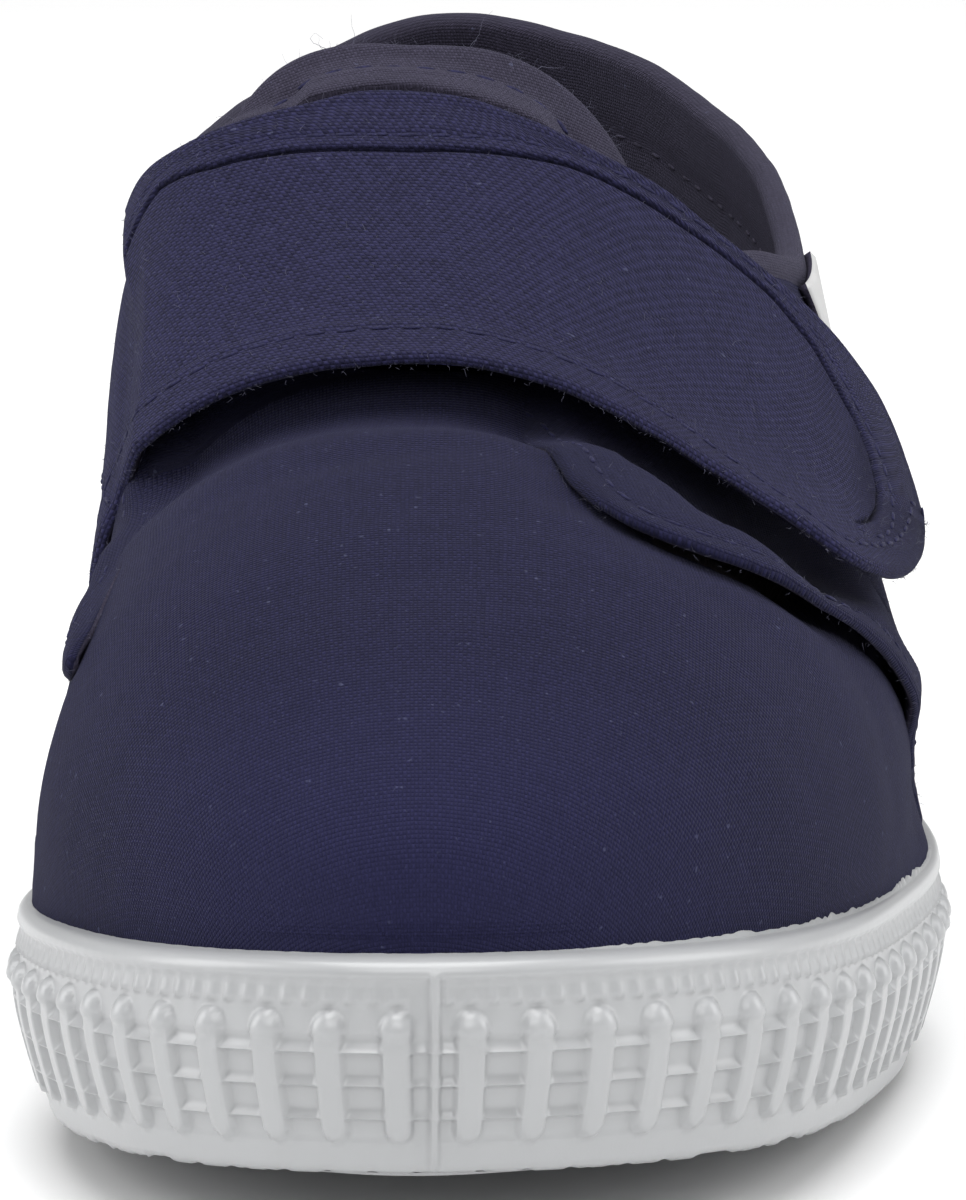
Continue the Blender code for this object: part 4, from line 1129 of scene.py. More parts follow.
def build_quarter(panel):
    """One quarter: folded front edge over the vamp, back to the heel seam."""
    down = rounded(even_table(panel.down, 400), 9)
    part = np.linspace(0.0, 1.0, 118)
    part = part - 0.10 * np.sin(2.0 * math.pi * part) / (2.0 * math.pi)
    start = columns_at(part, np.linspace(0.0, 1.0, len(down)), down)
    heel = LAST.heel_arc
    fine = np.arange(0.0, 9.0, 0.34) * MM
    coarse = np.linspace(0.0, 1.0, 112)[1:]
    start_arc = LAST.arc_of(start[:, 1] * MM, panel.outer)[:, None]
    reach = np.abs(heel - start_arc)
    walked = np.concatenate([np.broadcast_to(fine, (len(part), len(fine))),
                             fine[-1] + (reach - fine[-1]) * coarse], 1)
    arc = start_arc + np.sign(heel - start_arc) * walked
    along = LAST.outline_at(arc)[0][..., 1]
    top_mm = along[0] / MM
    edge = read_table(rounded(even_table(panel.top, 200, False), 6), top_mm)
    opening = LAST.opening(LAST.arc_of(top_mm * MM, panel.outer))
    edge = np.interp(along, along[0], blended(smooth_step(*panel.merge, top_mm), edge, opening))
    first = np.clip((start[:, :1] - edge[:, :1]) / (CANVAS_FOOT - edge[:, :1]), 0.0, 1.0)
    mix = smooth_step(0.0, 1.0, (along - along[:, :1]) / (0.100 - along[:, :1]))
    girth = edge + (CANVAS_FOOT - edge) * blended(mix, first, part[:, None])
    base = LAST.at(arc, girth)
    normal = LAST.normal_at(arc, girth)
    signed = girth if panel.outer else -girth
    hem_count = int(np.searchsorted(along[0], panel.hem_end))

    def front_path(points):
        return np.concatenate([points[0, :hem_count][::-1], points[1:, 0]])

    away = edge_distance(base, front_path(base))
    proud = panel.proud * MM * fall_step(4.0, 13.0, away / MM)
    if panel.outer:
        proud = proud * (0.22 + 0.78 * smooth_step(0.20, 0.55, girth))
    lower = smooth_step(*panel.runs_out, girth)
    proud = proud * (1.0 - 0.85 * lower) + (0.16 - 0.10 * lower) * MM
    under_strap = smooth_step(0.0, 9.0, along / MM - read_table(STRAP, signed) + panel.lies_down)
    allowed = np.where(signed > 0.0, 0.25 + read_table(STRAP, signed, 3), 0.0) * MM
    proud = blended(under_strap, proud, np.minimum(proud, allowed))
    hem = HEM_RAISED * MM * fall_step(HEM_WIDE * 0.86, HEM_WIDE, away)
    hem = hem - STITCH_SINK * MM * bell(away, HEM_STITCH, STITCH_HALF)
    hem = hem * (1.0 - 0.8 * under_strap) * (1.0 - 0.7 * lower)
    seam = np.abs(arc - heel)
    back_seam = -0.25 * MM * bell(seam, 0.0, 0.0006) + 0.12 * MM * bell(seam, 0.0018, 0.001)
    soft = 0.13 * ripple(base, panel.seed, 0.026) + 0.05 * ripple(base, 12, 0.009)
    soft = soft * smooth_step(0.0, 0.006, away) * smooth_step(2.05, 1.7, girth)
    soft = (soft + folds(panel.folds, girth, along / MM)) * MM
    foot_fade = smooth_step(2.02, 1.90, girth) * 0.75 + 0.25
    emerge = smooth_step(*panel.emerges, girth)
    emerge = emerge + (1.0 - emerge) * smooth_step(4.0, 14.0, away / MM)
    raised = (proud * foot_fade + hem - edge_roll(away, 0.75)) * emerge
    out = raised - panel.deep * MM * (1.0 - emerge) + soft + back_seam - tucked(signed, along)
    placed = base + normal * out[..., None]
    SEAMS[panel.name] = (placed, normal, resample(front_path(placed), SEAM_STEP))
    item = lay_grid(panel.name, placed, cloth_map(base))
    return thicken(turn_faces(item, from_foot), QUARTER_THICK)


COLLAR_RADIUS = 0.0011
COLLAR_PROUD = 0.00034
COLLAR_INNER = COLLAR_PROUD - 2.0 * COLLAR_RADIUS    # the facing, from the outside
GIRTH_PER_MM = 0.021                                 # inside the collar


def build_collar():
    """The rolled top edge with its narrow facing inside."""
    arc = np.linspace(*(float(LAST.arc_of(0.0752, outer)) for outer in (True, False)), 400)
    top = np.convolve(np.pad(LAST.opening(arc), 6, mode="edge"), np.ones(13) / 13.0, "valid")
    point = LAST.at(arc, top)
    normal = LAST.normal_at(arc, top)
    above = LAST.at(arc, np.maximum(top - 0.02, 0.0)) - LAST.at(arc, top + 0.02)
    above = unit(above - normal * (above * normal).sum(1)[:, None])
    centre = point + normal * (COLLAR_PROUD - COLLAR_RADIUS)
    rows = [point - above * down + normal * lift for down, lift in (
        (0.0019, 0.00006), (0.0015, 0.00022), (0.0011, COLLAR_PROUD), (0.0006, COLLAR_PROUD))]
    rows += [centre + normal * COLLAR_RADIUS * math.cos(angle) + above * COLLAR_RADIUS
             * math.sin(angle) * 0.92 for angle in np.linspace(0.0, math.pi, 13)]
    for down in (0.0006, 0.0012, 0.0020, 0.0028, 0.0034, 0.0040, 0.0048, 0.0056, 0.0060):
        girth = top + down * GIRTH_PER_MM / MM
        dip = 0.00022 * bell(down, 0.0034, 0.0004)
        ease = 0.0003 * max(0.0, (down - 0.0052) / 0.0008)
        rows.append(LAST.at(arc, girth) + LAST.normal_at(arc, girth) * (COLLAR_INNER + dip + ease))
    grid = np.stack(rows)
    soft = ripple(grid, 21, 0.014) * 0.00009 + ripple(grid, 22, 0.005) * 0.00004
    grid = grid + unit(grid - centre[None]) * soft[..., None]
    SEAMS["collar"] = (arc, top)
    line = LAST.place(centre)

    def from_roll(middles):
        return np.array([middle - line[np.argmin(np.linalg.norm(line - middle, axis=1))]
                         for middle in middles])

    return turn_faces(lay_grid("collar_edge", grid, cloth_map(grid)), from_roll)


# ---- strap, tongue, label, closure ------------------------------------------------
STRAP_ROOT_UP = 0.035    # height of the root's straight end
ROOT_ROWS = 30
BAND_START = -0.69       # the band's raw end, round on the inner side
BAND_STITCH = 0.00165    # from the band's seam
BAND_RAISED = 0.16       # mm, the band over the strap
TRENCH_DEPTH = 0.50      # mm, the groove along the band's seam
TRENCH_HALF = 0.00017
STRAP_THICK = 0.00125
BAND_SEAM = np.array([
    # girth, along (mm)
    (-0.69, 96.6), (-0.60, 97.2), (-0.52, 97.2), (-0.474, 96.5), (-0.341, 94.6),
    (-0.226, 93.9), (-0.134, 93.4), (-0.034, 93.1), (0.070, 93.1), (0.162, 93.1),
    (0.221, 92.7), (0.306, 91.7), (0.399, 90.5), (0.470, 89.6), (0.536, 87.5),
    (0.569, 85.3), (0.614, 82.5), (0.636, 79.5), (0.651, 74.5), (0.651, 71.1),
    (0.640, 67.5), (0.615, 63.5),
])
STRAP_FOLDS = (
    ((-0.20, 84.0), (0.10, 7.0), 0.4, -0.22),
    ((0.30, 78.0), (0.09, 9.0), -0.3, -0.25),
    ((0.52, 72.0), (0.10, 8.0), 0.2, 0.22),
)
# Distances (mm) of the strap's lines from its front edge, from the band's seam and, back from
# it, from its back edge.
NEAR_FRONT = np.array([0.0, 0.15, 0.3, 0.5, 0.8, 1.2, 1.8, 2.4, 2.9, 3.4, 3.9, 4.3, 4.8, 5.4])
NEAR_SEAM = np.array([-1.0, -0.6, -0.4, -0.26, -0.13, 0.0, 0.13, 0.26, 0.4, 0.6, 1.0])
NEAR_BACK = np.array([1.4, 1.0, 0.7, 0.45, 0.28, 0.14, 0.0])


def strap_stations(count):
    """Girth, front, back and lift along the strap, root to rounded end."""
    table = np.vstack([STRAP, [0.757, 79.0, 83.0, 3.0]])
    step = np.hypot(np.diff(table[:, 0]) * 60.0, 0.35 * np.diff(table[:, 1]))
    place = np.concatenate([[0.0], np.cumsum(np.maximum(step, 0.6))])
    fine = np.linspace(0.0, place[-1], 3000)
    girth = cubic_through(place, table[:, 0])(fine)
    crowd = 1.0 + 2.6 * bell(girth, 0.645, 0.02) + 2.0 * bell(girth, BAND_START, 0.012)
    walked = np.concatenate([[0.0], np.cumsum(crowd[1:])])
    at = np.interp(np.linspace(0.0, walked[-1], count), walked, fine)
    columns = [cubic_through(place, table[:, k])(at) for k in range(3)]
    return columns + [np.interp(at, place, table[:, 3])]


def girth_at_height(along, height):
    """Signed girth on the inner side at a height, above or below the belly."""
    found = []
    for y in along:
        arc = float(LAST.arc_of(y, False))
        belly = float(LAST.at(arc, 1.0)[2])
        below = max(0.0, (belly - height) / (belly - float(LAST.rim(y))))
        found.append(-(1.0 + below - LAST.turn_at(arc, height) / HALF_PI))
    return np.array(found)


def strap_rise(girth, along_mm):
    """How far (m) the strap's face stands off the last: least where its front is sewn down."""
    front = np.interp(girth, (-0.92, -0.84, -0.78, -0.72, -0.66, -0.60, -0.50),
                      (1.1, 0.8, 0.35, 0.45, 0.95, 1.55, 1.7))
    back = np.interp(girth, (-0.92, -0.84, -0.78, -0.75, -0.70), (1.1, 0.8, 0.45, 0.9, 1.7))
    return (front + (back - front) * smooth_step(88.0, 98.0, along_mm)) * MM


def strap_surface(path):
    """Points on the strap's outside along a path of signed girth and along (mm)."""
    girth, along = path.T
    point, normal = LAST.by_girth(girth, along * MM)
    return point + normal * (read_table(STRAP, girth, 3) * MM + strap_rise(girth, along))[:, None]


def strap_columns(wide, seam):
    """Shares across the strap, close together at both edges and at the band's seam."""
    need = NEAR_FRONT[-1] + 2.6 + NEAR_BACK[0] + 0.6
    scale = (np.minimum(1.0, 0.92 * wide / need) / wide)[:, None]
    seam = np.clip(seam[:, None], (NEAR_FRONT[-1] + 1.3) * scale,
                   1.0 - (NEAR_BACK[0] + 1.3) * scale)
    front = NEAR_FRONT * scale
    about = seam + NEAR_SEAM * scale
    back = 1.0 - NEAR_BACK * scale

    def between(start, end, count):
        return start + (end - start) * np.linspace(0.0, 1.0, count + 2)[1:-1]

    return np.concatenate([front, between(front[:, -1:], about[:, :1], 60), about,
                           between(about[:, -1:], back[:, :1], 16), back], 1)


def within(polygon, x, y):
    """Which points lie inside a closed polygon."""
    found = np.zeros(x.shape, bool)
    for (ax, ay), (bx, by) in zip(polygon, np.roll(polygon, -1, 0)):
        crosses = (ay > y) != (by > y)
        at = ax + (y - ay) * (bx - ax) / (by - ay if by != ay else 1e-9)
        found ^= crosses & (x < at)
    return found


def smooth_rows(field, width):
    """A grid averaged along its rows' order, then set back to unit length."""
    padded = np.concatenate([field[:1]] * width + [field] + [field[-1:]] * width)
    return unit(sum(padded[k:k + len(field)] for k in range(2 * width + 1)))


def row_line(placed, distance, wanted):
    """The path on a grid where each row's distance first passes the wanted one."""
    found = []
    for points, gap in zip(placed, distance - wanted):
        j = int(np.argmax(gap > 0.0))
        if j > 0:
            part = gap[j - 1] / (gap[j - 1] - gap[j])
            found.append(points[j - 1] + (points[j] - points[j - 1]) * part)
    return resample(np.array(found), 0.0006)


def build_strap():
    """The strap: hemmed all round, a wide band along its back edge and rounded end."""
    side, *edges, lift = strap_stations(250)
    steps = np.linspace(0.0, 1.0, ROOT_ROWS + 1)[:-1]
    girths, wholes, lines = [], [], []
    for edge in edges:
        low = girth_at_height(edge[:1] * MM, STRAP_ROOT_UP)[0]
        girths.append(np.concatenate([low + (side[0] - low) * steps, side]))
        wholes.append(np.concatenate([np.full(ROOT_ROWS, edge[0]), edge]) * MM)
        lines.append(LAST.by_girth(girths[-1], wholes[-1])[0])
    front, back = wholes
    seam_line = even_table(BAND_SEAM, 400)
    for _ in range(4):
        ease_along(seam_line)
    seam_at = read_table(seam_line[:np.argmax(seam_line[:, 0])], girths[0]) * MM
    seam_at = blended(smooth_step(0.60, 0.68, girths[0]), seam_at, (front + back) / 2.0)
    share = strap_columns(np.linalg.norm(lines[1] - lines[0], axis=1) / MM,
                          (seam_at - front) / (back - front))
    along = front[:, None] + (back - front)[:, None] * share
    girth = girths[0][:, None] + (girths[1] - girths[0])[:, None] * share
    root = girth_at_height(along[0], STRAP_ROOT_UP)
    girth[:ROOT_ROWS] = root + (girth[ROOT_ROWS] - root) * steps[:, None]
    lift = np.concatenate([np.zeros(ROOT_ROWS), lift])[:, None] * MM
    base, normal = LAST.by_girth(girth, along)
    normal = smooth_rows(normal, 5)
    mm = along / MM
    placed = base + normal * (lift + strap_rise(girth, mm))[..., None]

    def back_path(points):
        return np.concatenate([points[:, -1], points[-1, ::-1]])

    seam_spots = strap_surface(seam_line)
    cut = np.linspace((BAND_START, seam_line[0, 1]), (BAND_START, 105.0), 20)
    to_front, to_back, to_root, to_seam, to_cut = (edge_distance(placed, line) for line in (
        placed[:, 0], back_path(placed), placed[0], seam_spots, strap_surface(cut)))
    outline = np.concatenate([seam_line, [[seam_line[-1, 0], 50.0], [0.9, 50.0], [0.9, 112.0],
                                          [BAND_START, 112.0]]])
    banded = within(outline, girth, mm)
    trench = bell(to_seam, 0.0, TRENCH_HALF)
    relief = BAND_RAISED * smooth_step(0.0, 0.0003, np.minimum(to_seam, to_cut)) * banded
    relief = relief - TRENCH_DEPTH * trench - 0.15 * bell(to_seam, BAND_STITCH, 0.0004) * banded
    relief = relief - 0.10 * bell(to_back, 0.0016, 0.0007)
    stitched = np.interp(girth, (-0.3, 0.0, 0.35, 0.6), (4.3, 4.5, 3.6, 2.7)) * MM
    hem = 0.26 * fall_step(stitched, stitched + 0.0014, to_front)
    hem = hem - 0.17 * bell(to_front, stitched, 0.0004)
    hem = hem + 0.12 * bell(to_front, stitched + 0.0009, 0.0005)
    relief = relief + hem * np.where(banded, 0.3, 1.0) + folds(STRAP_FOLDS, girth, mm)
    relief = relief + 0.09 * ripple(base, 31, 0.018) + 0.05 * ripple(base, 32, 0.007)
    nearest = np.minimum(np.minimum(to_front, to_back), to_root)
    placed = placed + normal * (relief * MM - edge_roll(nearest, 0.8))[..., None]
    uv = np.stack([cumulative(base, 0), cumulative(placed, 1)], -1)
    # The groove along the band's seam is painted nearly black through gap, as painted shade.
    item = lay_grid("strap_body", placed, uv, gap=np.clip(1.25 * trench, 0.0, 1.0) * 0.86)
    for name, line in (("strap_front", placed[:, 0]), ("strap_seam", seam_spots),
                       ("strap_back", back_path(placed)), ("strap_root", placed[0])):
        SEAMS[name] = (placed, normal, resample(line, SEAM_STEP))
    SEAMS["strap_row"] = (placed, normal, row_line(placed, to_front, stitched))
    return thicken(turn_faces(item, from_foot), STRAP_THICK)


TONGUE_TOP = 105.7       # mm from the toe, in the middle
TONGUE_SIDE_TOP = 91.0   # and at the sides
TONGUE_WIDER = 1.20
TONGUE_STITCH = 0.0032   # from its edge
TONGUE_HEM = 0.0047
TONGUE_THICK = 0.0013
SLIT_DEPTH = 2.6         # mm, between the strap and the hem
HEM_BEHIND = 2.3         # mm, how far the hem stands up behind the slit
HEM_BESIDE = 1.5         # and beside it
TONGUE_SLIT = np.array([
    # girth, along (mm): where the hem parts from the strap's back edge
    (-0.18, 98.9), (-0.12, 99.2), (-0.06, 99.65), (0.00, 100.1), (0.06, 99.15),
    (0.12, 98.1), (0.17, 97.1), (0.22, 96.2),
])


def build_tongue():
    """The tongue: a hemmed tab coming up behind the strap."""
    turn = np.linspace(-HALF_PI, HALF_PI, 112)
    share = np.sin(turn)
    top = TONGUE_SIDE_TOP + (TONGUE_TOP - TONGUE_SIDE_TOP) * np.cos(turn) ** 0.9
    rise = 1.0 - (1.0 - np.linspace(0.0, 1.0, 132)) ** 1.35
    mm = TONGUE[0, 0] + (top[None] - TONGUE[0, 0]) * rise[:, None]
    inner, outer = (read_table(TONGUE[:5], mm, k) for k in (1, 2))
    girth = np.where(share < 0.0, inner * share * TONGUE_WIDER, outer * share)
    along = mm * MM
    base, normal = LAST.by_girth(girth, along)
    normal = smooth_rows(normal, 4)
    normal = np.swapaxes(smooth_rows(np.swapaxes(normal, 0, 1), 5), 0, 1)
    placed = base - normal * (read_table(TONGUE, mm, 3) * MM)[..., None]

    def hem_path(points, row):
        return np.concatenate([points[row:, 0], points[-1], points[row:, -1][::-1]])

    away = edge_distance(placed, hem_path(placed, 25))
    centre = plateau(-0.175, -0.12, 0.14, 0.19, girth)
    past = mm - read_table(TONGUE_SLIT, girth)
    deep = centre * fall_step(-0.30, 0.0, past)
    behind = mm - read_table(STRAP, girth, 2)
    beside = (1.0 - centre) * plateau(-5.0, -1.0, 0.6, 3.0, behind)
    relief = 0.22 * fall_step(TONGUE_HEM - 0.0007, TONGUE_HEM, away)
    relief = relief - SLIT_DEPTH * deep + HEM_BESIDE * beside
    relief = relief + HEM_BEHIND * centre * plateau(-0.05, 0.20, 0.4, 4.6, past)
    relief = relief - 0.15 * bell(away, TONGUE_STITCH, STITCH_HALF)
    relief = relief + 0.08 * ripple(base, 41, 0.012)
    relief = relief * MM - tucked(girth, along) - edge_roll(away, 0.6)
    placed = placed + normal * relief[..., None]
    # The slit between the strap and the hem is painted nearly black through gap, as painted shade.
    item = lay_grid("tongue_tab", placed, cloth_map(base), gap=0.9 * deep)
    SEAMS["tongue"] = (placed, normal, resample(hem_path(placed, 38), SEAM_STEP))
    return thicken(turn_faces(item, from_foot), TONGUE_THICK)


PAD_GIRTH = (0.56, 0.66)
PAD_ALONG = (66.0, 89.5)     # mm
PAD_THICK = 0.0003
LABEL_ALONG = (104.0, 120.0)     # mm
LABEL_UP = (38.8, 54.0)          # mm
LABEL_PROUD = 1.25               # mm
LABEL_THICK = 0.00085


def build_pad(name, out, bumps, seed):
    """One half of the closure, a thin rough pad with rounded corners under the strap's end.

    out gives how far (mm) it stands off the last at a girth.
    """
    rows, columns = 46, 60
    u = np.linspace(0.0, 1.0, rows)
    corner = np.clip(np.minimum(u, 1.0 - u) / 0.12, 0.0, 1.0)
    trim = 0.06 * (1.0 - np.sqrt(np.clip(1.0 - (1.0 - corner) ** 2, 0.0, 1.0)))
    trim = trim * (PAD_ALONG[1] - PAD_ALONG[0])
    front, back = PAD_ALONG[0] + trim, PAD_ALONG[1] - trim
    along = (front[:, None] + (back - front)[:, None] * np.linspace(0.0, 1.0, columns)) * MM
    girth = np.repeat((PAD_GIRTH[0] + (PAD_GIRTH[1] - PAD_GIRTH[0]) * u)[:, None], columns, 1)
    base, normal = LAST.by_girth(girth, along)
    rough = np.random.default_rng(seed).random(girth.shape) * bumps
    placed = base + normal * ((out(girth) + rough) * MM)[..., None]
    return thicken(turn_faces(lay_grid(name, placed, cloth_map(base)), from_foot), PAD_THICK)


def build_label():
    """The bare side label, a bent plate with softened edges."""
    heights = np.linspace(*LABEL_UP, 34) * MM
    arcs = LAST.arc_of(np.linspace(*LABEL_ALONG, 40) * MM, True)
    girth = 1.0 - np.stack([LAST.turn_at(float(a), heights) for a in arcs], 1) / HALF_PI
    arc = np.repeat(arcs[None], len(heights), 0)
    base = LAST.at(arc, girth)
    across, up = ((0.5 - np.abs(np.linspace(-0.5, 0.5, count))) * (span[1] - span[0])
                  for count, span in ((40, LABEL_ALONG), (34, LABEL_UP)))
    drop = 0.35 * fall_step(0.0, 0.55, np.minimum(up[:, None], across)) ** 2
    placed = base + LAST.normal_at(arc, girth) * ((LABEL_PROUD - drop) * MM)[..., None]
    item = lay_grid("side_label_plate", placed, cloth_map(base))
    return thicken(turn_faces(item, from_foot), LABEL_THICK)


# ---- sewing and loose fibre -------------------------------------------------------
STITCH = (0.00040, 0.00165, 0.00026)      # wide, long, high
FINE_STITCH = (0.00034, 0.00120, 0.00022)
LONG_FIBRES = (
    # share of the tongue's hem, direction, length (mm)
    (0.44, (-0.2, -0.2, 1.0), 3.4), (0.46, (0.5, -0.1, 1.0), 2.6), (0.55, (0.3, -0.3, 1.0), 3.8),
    (0.60, (0.9, -0.1, 0.8), 2.4), (0.35, (-0.8, -0.1, 0.8), 2.2), (0.70, (0.4, -0.2, 1.0), 1.9),
)


def nearest_on(grid, normals, points):
    """For each point, the nearest grid vertex and its normal."""
    flat = grid.reshape(-1, 3)
    found = [int(np.argmin(((flat - point) ** 2).sum(1))) for point in points]
    return flat[found], normals.reshape(-1, 3)[found]


def inset_path(seam, distance, outward=False):
    """A path on a sheet at a fixed distance from a line, with the sheet's normals.

    It lies on the side of the sheet's middle, or on the other side if outward.
    """
    grid, normals, edge = seam
    path = resample(edge, 0.0009)
    inward = unit(np.cross(unit(np.gradient(path, axis=0)), nearest_on(grid, normals, path)[1]))
    half = len(path) // 2
    if ((grid.reshape(-1, 3).mean(0) - path[half]) @ inward[half] < 0.0) != outward:
        inward = -inward
    moved = path + inward * distance
    spots, aim = nearest_on(grid, normals, moved)
    moved = moved + aim * ((spots - moved) * aim).sum(1)[:, None]
    keep = edge_distance(moved[None], resample(edge, 0.001))[0] > distance * 0.93
    moved, aim = moved[keep], aim[keep]
    for _ in range(3):
        ease_along(moved)
        ease_along(aim)
        aim = unit(aim)
    return moved, aim


def sew(whole, path, aims, pitch, size, rng):
    """Lock stitches along a path: short, plump and a little uneven."""
    work = bmesh.new()
    walked = length_walked(path)
    for s in np.arange(pitch * 0.6, walked[-1] - pitch * 0.4, pitch):
        s = s + rng.uniform(-0.08, 0.08) * pitch
        spot, ahead = columns_at(np.array((s, s + 0.0004)), walked, path)
        along = Vector(ahead - spot).normalized()
        up = Vector(columns_at(s, walked, aims)).normalized()
        side = along.cross(up).normalized()
        up = side.cross(along).normalized()
        along = (along + side * rng.uniform(-0.10, 0.10)).normalized()
        side = along.cross(up).normalized()
        turn = Matrix((side, along, up)).transposed().to_4x4()
        place = Matrix.Translation(Vector(LAST.place(spot)) + up * size[2] * 0.15)
        half = Matrix.Diagonal((size[0] / 2.0, size[1] / 2.0, size[2] / 2.0, 1.0))
        bmesh.ops.create_uvsphere(work, u_segments=8, v_segments=5, radius=1.0,
                                  matrix=place @ turn @ half)
    row = bpy.data.meshes.new("row")
    work.to_mesh(row)
    work.free()
    whole.from_mesh(row)
    bpy.data.meshes.remove(row)


def build_canvas_stitches():
    """Every row of sewing that shows on the canvas."""
    pitch = bpy.context.scene.strap_shoe.stitch_pitch
    rng = np.random.default_rng(51)
    work = bmesh.new()
    grid, normals, row = SEAMS["strap_row"]
    sew(work, row[4:], nearest_on(grid, normals, row[4:])[1], pitch, STITCH, rng)
    for name, distance in (("strap_seam", BAND_STITCH), ("strap_root", 0.0025),
                           ("strap_root", 0.0075), ("tongue", TONGUE_STITCH),
                           ("quarter_outer", HEM_STITCH), ("quarter_inner", HEM_STITCH)):
        path, aims = inset_path(SEAMS[name], distance, outward=name == "strap_seam")
        sew(work, path, aims, pitch, STITCH, rng)
    top = SEAMS["collar"][1]
    girth = np.linspace(top[len(top) // 2] + 0.05, 1.97, 60)
    for beside in (-0.0021, 0.0021):
        arc = np.full(60, LAST.heel_arc + beside)
        aims = LAST.normal_at(arc, girth)
        sew(work, LAST.at(arc, girth) + aims * 0.00030, aims, pitch, STITCH, rng)
    return mesh_piece("canvas_stitches", work)


def build_lining_stitches():
    """The two rows inside the collar."""
    pitch = bpy.context.scene.strap_shoe.stitch_pitch
    rng = np.random.default_rng(52)
    work = bmesh.new()
    arc, top = SEAMS["collar"]
    for down, out in ((0.0034, COLLAR_INNER + 0.0002), (0.0078, -0.0018)):
        girth = top + down * GIRTH_PER_MM / MM
        aims = -LAST.normal_at(arc, girth)
        sew(work, LAST.at(arc, girth) - aims * out, aims, pitch, FINE_STITCH, rng)
    return mesh_piece("lining_stitches", work)


def fibre(start, heading, length, curl, rng):
    """One loose fibre as a short wandering run of points."""
    points = [start]
    heading = unit(heading)
    count = 6 if length < 0.003 else 14
    for _ in range(count - 1):
        heading = unit(heading + rng.normal(size=3) * curl)
        points.append(points[-1] + heading * length / (count - 1))
    return np.array(points)


def spin_fibres(name, runs, radius):
    """Thin tapering threads along runs of points, as one mesh."""
    data = bpy.data.curves.new(name, "CURVE")
    data.dimensions = "3D"
    data.bevel_depth = radius
    data.bevel_resolution = 0
    data.resolution_u = 1
    data.use_fill_caps = True
    for points in runs:
        run = data.splines.new("POLY")
        run.points.add(len(points) - 1)
        placed = np.column_stack([LAST.place(points), np.ones(len(points))])
        run.points.foreach_set("co", placed.ravel())
        run.points.foreach_set("radius", np.linspace(1.0, 0.3, len(points)))
    curve = add_object(name, data)
    drawn = curve.evaluated_get(bpy.context.evaluated_depsgraph_get())
    mesh = bpy.data.meshes.new_from_object(drawn)
    mesh.name = name
    bpy.data.objects.remove(curve)
    bpy.data.curves.remove(data)
    return add_object(name, mesh)


def build_fuzz():
    """Cut fibre on the raw edges, a thin nap over the canvas and a few long threads."""
    rng = np.random.default_rng(61)
    short = []
    for name, count, reach, spread in (("tongue", 300, 0.0009, 0.0009),
                                       ("strap_back", 260, 0.0006, 0.0005),
                                       ("strap_front", 160, 0.0005, 0.0004),
                                       ("quarter_outer", 120, 0.0005, 0.0005),
                                       ("quarter_inner", 80, 0.0005, 0.0005)):
        grid, normals, edge = SEAMS[name]
        spots, aims = nearest_on(grid, normals, resample(edge, 0.0004))
        middle = grid.reshape(-1, 3).mean(0)
        for _ in range(count):
            k = int(rng.integers(0, len(spots)))
            start = spots[k] - aims[k] * rng.uniform(0.0, spread)
            heading = aims[k] * rng.uniform(0.1, 1.0) + unit(spots[k] - middle) * rng.uniform(
                0.0, 1.2)
            heading = heading + rng.normal(size=3) * 0.6
            short.append(fibre(start, heading, reach * rng.uniform(0.5, 1.9), 0.35, rng))
    for name, count in (("strap_back", 1100), ("quarter_outer", 700), ("quarter_inner", 450),
                        ("tongue", 260)):
        grid, normals, _ = SEAMS[name]
        for _ in range(count):
            i, j = (int(rng.integers(0, size)) for size in grid.shape[:2])
            aim = normals[i, j]
            heading = aim * rng.uniform(0.2, 0.9) + rng.normal(size=3) * 0.7
            short.append(fibre(grid[i, j] - aim * 0.00005, heading, rng.uniform(0.0003, 0.0009),
                               0.4, rng))
    edge = SEAMS["tongue"][2]
    long = [fibre(edge[int(where * (len(edge) - 1))], np.array(lean), length * MM, 0.38, rng)
            for where, lean, length in LONG_FIBRES]
    return spin_fibres("nap", short, 0.000018), spin_fibres("loose_fibres", long, 0.000022)


# ---- settings a user would change -------------------------------------------------
def colour_setting(label, about, value):
    return bpy.props.FloatVectorProperty(name=label, description=about, subtype="COLOR", size=3,
                                         min=0.0, max=1.0, default=value)


def length_setting(label, about, value):
    return bpy.props.FloatProperty(name=label, description=about, subtype="DISTANCE",
                                   unit="LENGTH", min=0.00001, max=2.0, default=value,
                                   precision=5)


class StrapShoeSettings(bpy.types.PropertyGroup):
    canvas_colour: colour_setting("Canvas", "Mean colour of the canvas", (0.0106, 0.0105, 0.0325))
    strap_colour: colour_setting("Strap", "Mean colour of the strap", (0.0110, 0.0107, 0.0305))
    tape_colour: colour_setting("Tongue", "Mean colour of the tongue", (0.0340, 0.0305, 0.0500))
    lining_colour: colour_setting("Lining", "Mean colour of the lining", (0.0440, 0.0340, 0.0350))
    rubber_colour: colour_setting("Rubber", "Colour of the sole", (0.340, 0.346, 0.354))
    label_colour: colour_setting("Label", "Colour of the bare label", (0.47, 0.47, 0.47))
    strand_colour: colour_setting("Fibre", "Colour of loose fibre", (0.09, 0.09, 0.13))
    floor_colour: colour_setting("Floor", "Colour of the floor", (0.88, 0.88, 0.88))
    thread_across: length_setting("Thread across", "Width of one canvas thread", 0.00031)
    thread_along: length_setting("Thread along", "Spacing of the crossing threads", 0.00035)
    stitch_pitch: length_setting("Stitch", "Distance from stitch to stitch", 0.0024)


# ---- operators --------------------------------------------------------------------
class MakeSole(bpy.types.Operator):
    """Lay the moulded wall and the tread"""
    bl_idname = "strap_shoe.sole"
    bl_label = "Sole"

    def execute(self, context):
        finish_piece(build_wall(), "rubber", ("outsole",))
        finish_piece(build_tread(), "rubber")
        return {"FINISHED"}


class MakeInside(bpy.types.Operator):
    """Lay the sock and the lining"""
    bl_idname = "strap_shoe.inside"
    bl_label = "Sock and lining"

    def execute(self, context):
        finish_piece(build_insole(), "lining", ("insole",))
        finish_piece(build_lining(), "lining")
        return {"FINISHED"}


